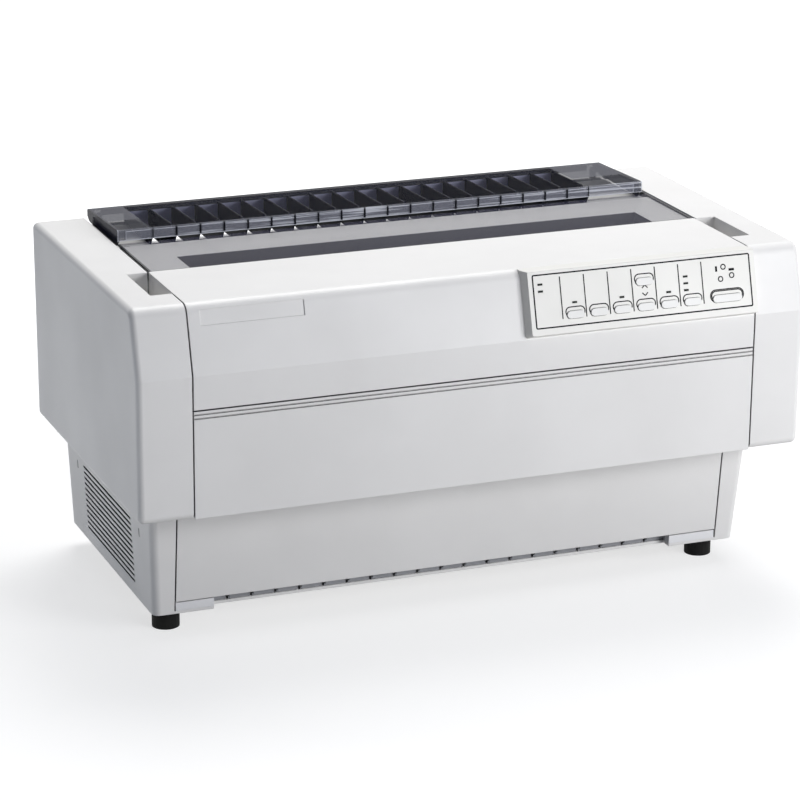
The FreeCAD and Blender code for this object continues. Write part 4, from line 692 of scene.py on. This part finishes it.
# Black and dark mouldings
# Tractors, ribbon cartridge, fan and sockets are moulded in black plastic, and the tractor lids in
# dark grey, coarser in texture than the case because nobody sees them closed.
inner_grain = 1200.0
inner_grain_depth = 0.00006
black_plastic = moulded_plastic("black_plastic", colour=(0.018, 0.018, 0.02, 1),
                                shade=(0.028, 0.028, 0.03, 1), roughness=0.4, grain=inner_grain,
                                depth=inner_grain_depth, edge=0.0005)
dark_plastic = moulded_plastic("dark_plastic", colour=(0.05, 0.052, 0.058, 1),
                               shade=(0.07, 0.07, 0.075, 1), roughness=0.45, grain=inner_grain,
                               depth=inner_grain_depth, edge=0.0006)
finish_nodes(black_plastic, "front_left_tractor", "front_right_tractor", "rear_left_tractor",
             "rear_right_tractor", "ribbon_cartridge", "fan_frame", "fan_rotor", "ac_inlet",
             "power_switch")
finish_nodes(dark_plastic, "front_left_lid", "front_right_lid")


# Lower paper guide and gear
# The ribbed guide is moulded in mid grey. The front faces of its ribs and end blocks are painted
# pale as painted light.
# # The platen's gear is moulded in natural nylon, a little yellow.
guide_grey = (0.36, 0.365, 0.385, 1)
guide_shade = (0.32, 0.325, 0.345, 1)
painted_lit_rib = (0.78, 0.78, 0.79, 1)
rib_depth = 0.0105
front_draft = 0.016
front_lean = front_draft / base_rise
guide_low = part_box("lower_paper_guide")[0]
rib_front = guide_low[1] + front_lean * guide_low[2] + rib_depth


def lit_guide_fronts(tree):
    """Mask of the end blocks and of the ribs' front edges, which lean like the front panel, for
    painted light.
    """
    across = add_node(tree, "ShaderNodeVectorMath", object_place(tree), (0, 1, front_lean),
                      operation="DOT_PRODUCT")
    return below(tree, across.outputs["Value"], rib_front)


guide_plastic = moulded_plastic("guide_plastic", guide_grey, guide_shade, roughness=0.5)
# Painted light: the front faces of the ribs and end blocks are painted pale.
lay_over(guide_plastic, lit_guide_fronts(guide_plastic.node_tree), painted_lit_rib)
finish_nodes(guide_plastic, "lower_paper_guide")
gear_nylon = moulded_plastic("gear_nylon", colour=(0.72, 0.70, 0.62, 1),
                             shade=(0.66, 0.64, 0.56, 1), roughness=0.35, grain=700.0,
                             depth=0.00003)
finish_nodes(gear_nylon, "platen_gear")


# Rubber parts
# The feet, the platen and the toothed belts are black rubber with a faint grey bloom. The platen
# is ground true, so its grain is the finest.
bloom_scale = 60.0
bloom_detail = 5.0
bloom_start = 0.45
bloom_full = 0.75
rubber_grain_depth = 0.00008
rubber_gloss = 0.15


def rubber(name, colour, dust, roughness, grain):
    """Matt rubber with a dusty bloom and a fine grain."""
    material, tree, shader = new_material(name)
    place = object_place(tree)
    bloom = ranged(tree, noise(tree, place, Scale=bloom_scale, Detail=bloom_detail),
                   From_Min=bloom_start, From_Max=bloom_full)
    fine = noise(tree, place, Scale=grain, Detail=grain_detail)
    fill_shader(tree, shader, Base_Color=mixed(tree, bloom, colour, dust), Roughness=roughness,
                Specular_IOR_Level=rubber_gloss, Normal=bumped(tree, fine, rubber_grain_depth))
    return material


foot_rubber = rubber("foot_rubber", colour=(0.004, 0.004, 0.004, 1),
                     dust=(0.012, 0.012, 0.011, 1), roughness=0.7, grain=900.0)
platen_rubber = rubber("platen_rubber", colour=(0.016, 0.016, 0.017, 1),
                       dust=(0.03, 0.03, 0.03, 1), roughness=0.5, grain=2500.0)
belt_rubber = rubber("belt_rubber", colour=(0.01, 0.01, 0.01, 1),
                     dust=(0.02, 0.02, 0.02, 1), roughness=0.75, grain=1500.0)
finish_nodes(foot_rubber, "rubber_feet")
finish_nodes(platen_rubber, "platen_roller")
finish_nodes(belt_rubber, "feed_belts", "carriage_belt")


# Metal parts
# Chassis, frames and power supply are folded from zinc plated sheet with a fine rolled grain and
# cloudy plating. Shafts are ground bright, pulleys turned in brass, and the carriage is cast.
# The paper guides are sheet with a satin grey paint.
line_scale = 30.0
line_detail = 5.0
line_depth = 0.00003
cloud_scale = 120.0
cloud_full = 0.8
smoother = 0.08
rougher = 0.1


def rolled_steel(name, colour, cloud, roughness, streak, metal=1.0):
    """Sheet or bar metal: rolled streaks in its gloss and a cloudy surface colour."""
    material, tree, shader = new_material(name)
    place = object_place(tree)
    lines = noise(tree, stretched(tree, place, streak), Scale=line_scale,
                  Detail=line_detail)
    cells = add_node(tree, "ShaderNodeTexVoronoi", Vector=place, Scale=cloud_scale)
    patch = ranged(tree, cells.outputs["Distance"], From_Max=cloud_full)
    gloss = ranged(tree, lines, To_Min=roughness - smoother, To_Max=roughness + rougher)
    fill_shader(tree, shader, Base_Color=mixed(tree, patch, colour, cloud), Metallic=metal,
                Roughness=gloss, Normal=bumped(tree, lines, line_depth))
    return material


zinc_steel = rolled_steel("zinc_steel", colour=(0.52, 0.54, 0.55, 1),
                          cloud=(0.44, 0.45, 0.45, 1), roughness=0.38, streak=(1, 25, 25))
ground_steel = rolled_steel("ground_steel", colour=(0.62, 0.62, 0.62, 1),
                            cloud=(0.56, 0.56, 0.57, 1), roughness=0.22, streak=(40, 2, 2))
guide_paint = rolled_steel("guide_paint", colour=(0.16, 0.165, 0.175, 1),
                           cloud=(0.14, 0.145, 0.155, 1), roughness=0.42, streak=(6, 6, 6),
                           metal=0.0)
tinned_shell = rolled_steel("tinned_shell", colour=(0.6, 0.6, 0.58, 1),
                            cloud=(0.5, 0.5, 0.48, 1), roughness=0.3, streak=(8, 8, 8))
turned_brass = rolled_steel("turned_brass", colour=(0.55, 0.41, 0.17, 1),
                            cloud=(0.47, 0.34, 0.13, 1), roughness=0.28, streak=(4, 4, 60))
cast_metal = rolled_steel("cast_metal", colour=(0.46, 0.47, 0.48, 1),
                          cloud=(0.38, 0.39, 0.4, 1), roughness=0.45, streak=(5, 5, 5))
anodised = rolled_steel("anodised", colour=(0.03, 0.03, 0.032, 1),
                        cloud=(0.045, 0.045, 0.05, 1), roughness=0.4, streak=(5, 5, 30))
motor_enamel = rolled_steel("motor_enamel", colour=(0.02, 0.02, 0.022, 1),
                            cloud=(0.03, 0.03, 0.033, 1), roughness=0.35, streak=(4, 4, 4),
                            metal=0.2)
finish_nodes(zinc_steel, "chassis_plate", "left_side_frame", "right_side_frame", "power_supply")
finish_nodes(ground_steel, "carriage_guide_shaft", "tractor_rods", "platen_shaft",
             "front_tractor_shaft", "rear_tractor_shaft")
finish_nodes(guide_paint, "rear_paper_guide", "front_paper_guide")
finish_nodes(tinned_shell, "interface_ports")
finish_nodes(turned_brass, "drive_pulley", "idler_pulley", "feed_pinion")
finish_nodes(cast_metal, "carriage")
finish_nodes(anodised, "print_head")
finish_nodes(motor_enamel, "carriage_motor", "feed_motor")


# Case screws
# Eight low pan-head screws, zinc plated with a cross recess, hold the rear housing and the base's
# back wall. Each stands in the wall it fastens.
screw_radius = 0.0038
screw_proud = 0.0009
screw_root = 0.0015
screw_sides = 32
screw_twist = 40.0
rim_share = 0.6
rim_steps = 4
rim_angle = math.radians(40)
cross_width = 0.0011
cross_length = 0.0046
cross_share = 1.6
screw_rows = (0.158, 0.137)
screw_columns = (-0.272, -0.095, 0.095, 0.272)
back_wall_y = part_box("rear_housing")[1][1]


def remove_piece(piece):
    deselect()
    piece.select_set(True)
    bpy.ops.object.delete()


def case_screw():
    """Pan head with a bevelled rim and a cross recess, about the Z axis."""
    deselect()
    bpy.ops.mesh.primitive_cylinder_add(vertices=screw_sides, radius=screw_radius,
                                        depth=screw_proud + screw_root,
                                        location=(0, 0, (screw_proud - screw_root) / 2))
    made = bpy.context.object
    bpy.ops.object.transform_apply(location=True)
    apply_modifier(made, "BEVEL", width=screw_proud * rim_share, segments=rim_steps,
                   angle_limit=rim_angle)
    for wide, long in ((cross_width, cross_length), (cross_length, cross_width)):
        deselect()
        bpy.ops.mesh.primitive_cube_add(size=1, location=(0, 0, screw_proud))
        cutter = bpy.context.object
        cutter.scale = (wide, long, screw_proud * cross_share)
        bpy.ops.object.transform_apply(location=True, scale=True)
        apply_modifier(made, "BOOLEAN", operation="DIFFERENCE", object=cutter)
        remove_piece(cutter)
    return made


first_screw = case_screw()
screws = []
for z in screw_rows:
    for x in screw_columns:
        copied = first_screw.copy()
        copied.data = first_screw.data.copy()
        bpy.context.collection.objects.link(copied)
        turn = (Matrix.Rotation(x * screw_twist, 4, "Y")
                @ Matrix.Rotation(math.radians(-90), 4, "X"))
        seat(copied, Matrix.Translation((x, back_wall_y, z)) @ turn)
        screws.append(copied)
remove_piece(first_screw)
back_wall_screws = join_pieces(screws, "back_wall_screws")
finish_piece(back_wall_screws, tinned_shell)
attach(back_wall_screws, "housing")


# Circuit boards
# Glass fibre boards under a green lacquer. Their copper tracks show through it as paler lines, and
# the lacquer gives them a light gloss coat.
track_scale = 180.0
track_width = 0.03
board_green = (0.012, 0.10, 0.045, 1)
board_shade = (0.016, 0.12, 0.055, 1)
track_green = (0.05, 0.22, 0.09, 1)
board_roughness = 0.25
board_coat = 0.4


def lacquered_board():
    """Green lacquer over a net of copper tracks."""
    material, tree, shader = new_material("lacquered_board")
    tracks = add_node(tree, "ShaderNodeTexBrick", Vector=object_place(tree), Scale=track_scale,
                      Mortar_Size=track_width, Color1=board_green, Color2=board_shade,
                      Mortar=track_green)
    fill_shader(tree, shader, Base_Color=tracks.outputs[0], Roughness=board_roughness,
                Coat_Weight=board_coat)
    return material


finish_nodes(lacquered_board(), "main_board", "panel_board")


# Ink ribbon
# A band of woven nylon soaked in black ink. It comes out of the cartridge and runs past the print
# head, and its weave is fine and matt.
ribbon_black = (0.008, 0.008, 0.012, 1)
ribbon_roughness = 0.8
weave_scale = 900.0
weave_depth = 0.0001


def inked_nylon():
    """Black cloth with a fine square weave."""
    material, tree, shader = new_material("inked_nylon")
    place = object_place(tree)
    threads = [add_node(tree, "ShaderNodeTexWave", Vector=place, Scale=weave_scale,
                        bands_direction=way).outputs[1] for way in ("X", "Z")]
    fill_shader(tree, shader, Base_Color=ribbon_black, Roughness=ribbon_roughness,
                Normal=bumped(tree, both(tree, *threads), weave_depth))
    return material


finish_nodes(inked_nylon(), "ink_ribbon")


# Floor, light and camera
# A white sweep that the camera sees as plain white round the printer's soft shadow, a large key
# lamp from the right, a softer one overhead, a weak cool one low at the left, and a long lens.
floor_size = 12.0
floor_white = (0.42, 0.42, 0.42, 1)
floor_roughness = 0.9
shadow_reach = 0.45
sweep_reach = 1.50
near_glow = 0.66
fill_colour = (0.68, 0.77, 1.0, 1)
fill_strength = 0.16
plain_white = (1, 1, 1, 1)
camera_place = (-1.1389, -2.9227, 1.1835)
camera_yaw = 0.3647
camera_pitch = 0.3095
camera_lens = 143.5
camera_sensor = 36.0
camera_shift = 0.008
camera_reach = 50.0


def seen_plainly(tree):
    """1 for the rays that the camera sees directly, in a reflection or through a clear piece."""
    rays = add_node(tree, "ShaderNodeLightPath").outputs
    direct = either(tree, rays["Is Camera Ray"], rays["Is Transmission Ray"])
    return either(tree, direct, rays["Is Glossy Ray"])


deselect()
bpy.ops.mesh.primitive_plane_add(size=floor_size, location=(0, 0, 0))
floor = bpy.context.object
floor.name = "floor"
floor_material, floor_tree, floor_shader = new_material("floor_white")
distance = add_node(floor_tree, "ShaderNodeVectorMath", object_place(floor_tree),
                    operation="LENGTH").outputs["Value"]
glow = ranged(floor_tree, distance, From_Min=shadow_reach, From_Max=sweep_reach, To_Min=near_glow,
              To_Max=1.0)
fill_shader(floor_tree, floor_shader, Base_Color=floor_white, Roughness=floor_roughness,
            Specular_IOR_Level=0.0, Emission_Strength=1.0,
            Emission_Color=both(floor_tree, glow, seen_plainly(floor_tree)))
floor.data.materials.append(floor_material)

world = bpy.data.worlds.new("studio")
bpy.context.scene.world = world
world.use_nodes = True
sky = world.node_tree
fill = sky.nodes["Background"]
feed(sky, fill.inputs["Color"], fill_colour)
feed(sky, fill.inputs["Strength"], fill_strength)
white = add_node(sky, "ShaderNodeBackground", Color=plain_white, Strength=1.0)
studio = add_node(sky, "ShaderNodeMixShader", seen_plainly(sky), fill.outputs[0], white.outputs[0])
feed(sky, sky.nodes["World Output"].inputs["Surface"], studio.outputs[0])


def softbox(name, place, aim, size, power, colour):
    """Square area lamp aimed at a point."""
    bpy.ops.object.light_add(type="AREA", location=place)
    lamp = bpy.context.object
    lamp.name = name
    lamp.data.size = size
    lamp.data.energy = power
    lamp.data.color = colour
    lamp.rotation_euler = (Vector(aim) - Vector(place)).to_track_quat("-Z", "Y").to_euler()


softbox("key", place=(1.2, -1.8, 0.72), aim=(0, 0, 0.20), size=1.0, power=34,
        colour=(0.98, 0.985, 1.0))
softbox("top", place=(0.4, 0.9, 2.2), aim=(0, 0, 0.35), size=1.4, power=45,
        colour=(1.0, 0.995, 0.98))
softbox("low_left", place=(-1.1, 0.05, 0.06), aim=(-0.35, 0.0, 0.10), size=0.4, power=1.5,
        colour=(0.90, 0.95, 1.0))

bpy.ops.object.camera_add(location=camera_place,
                          rotation=(math.radians(90) - camera_pitch, 0, -camera_yaw))
camera = bpy.context.object
camera.data.lens = camera_lens
camera.data.sensor_width = camera_sensor
camera.data.shift_x = camera_shift
camera.data.clip_end = camera_reach
bpy.context.scene.camera = camera
bpy.context.scene.view_settings.view_transform = "Standard"
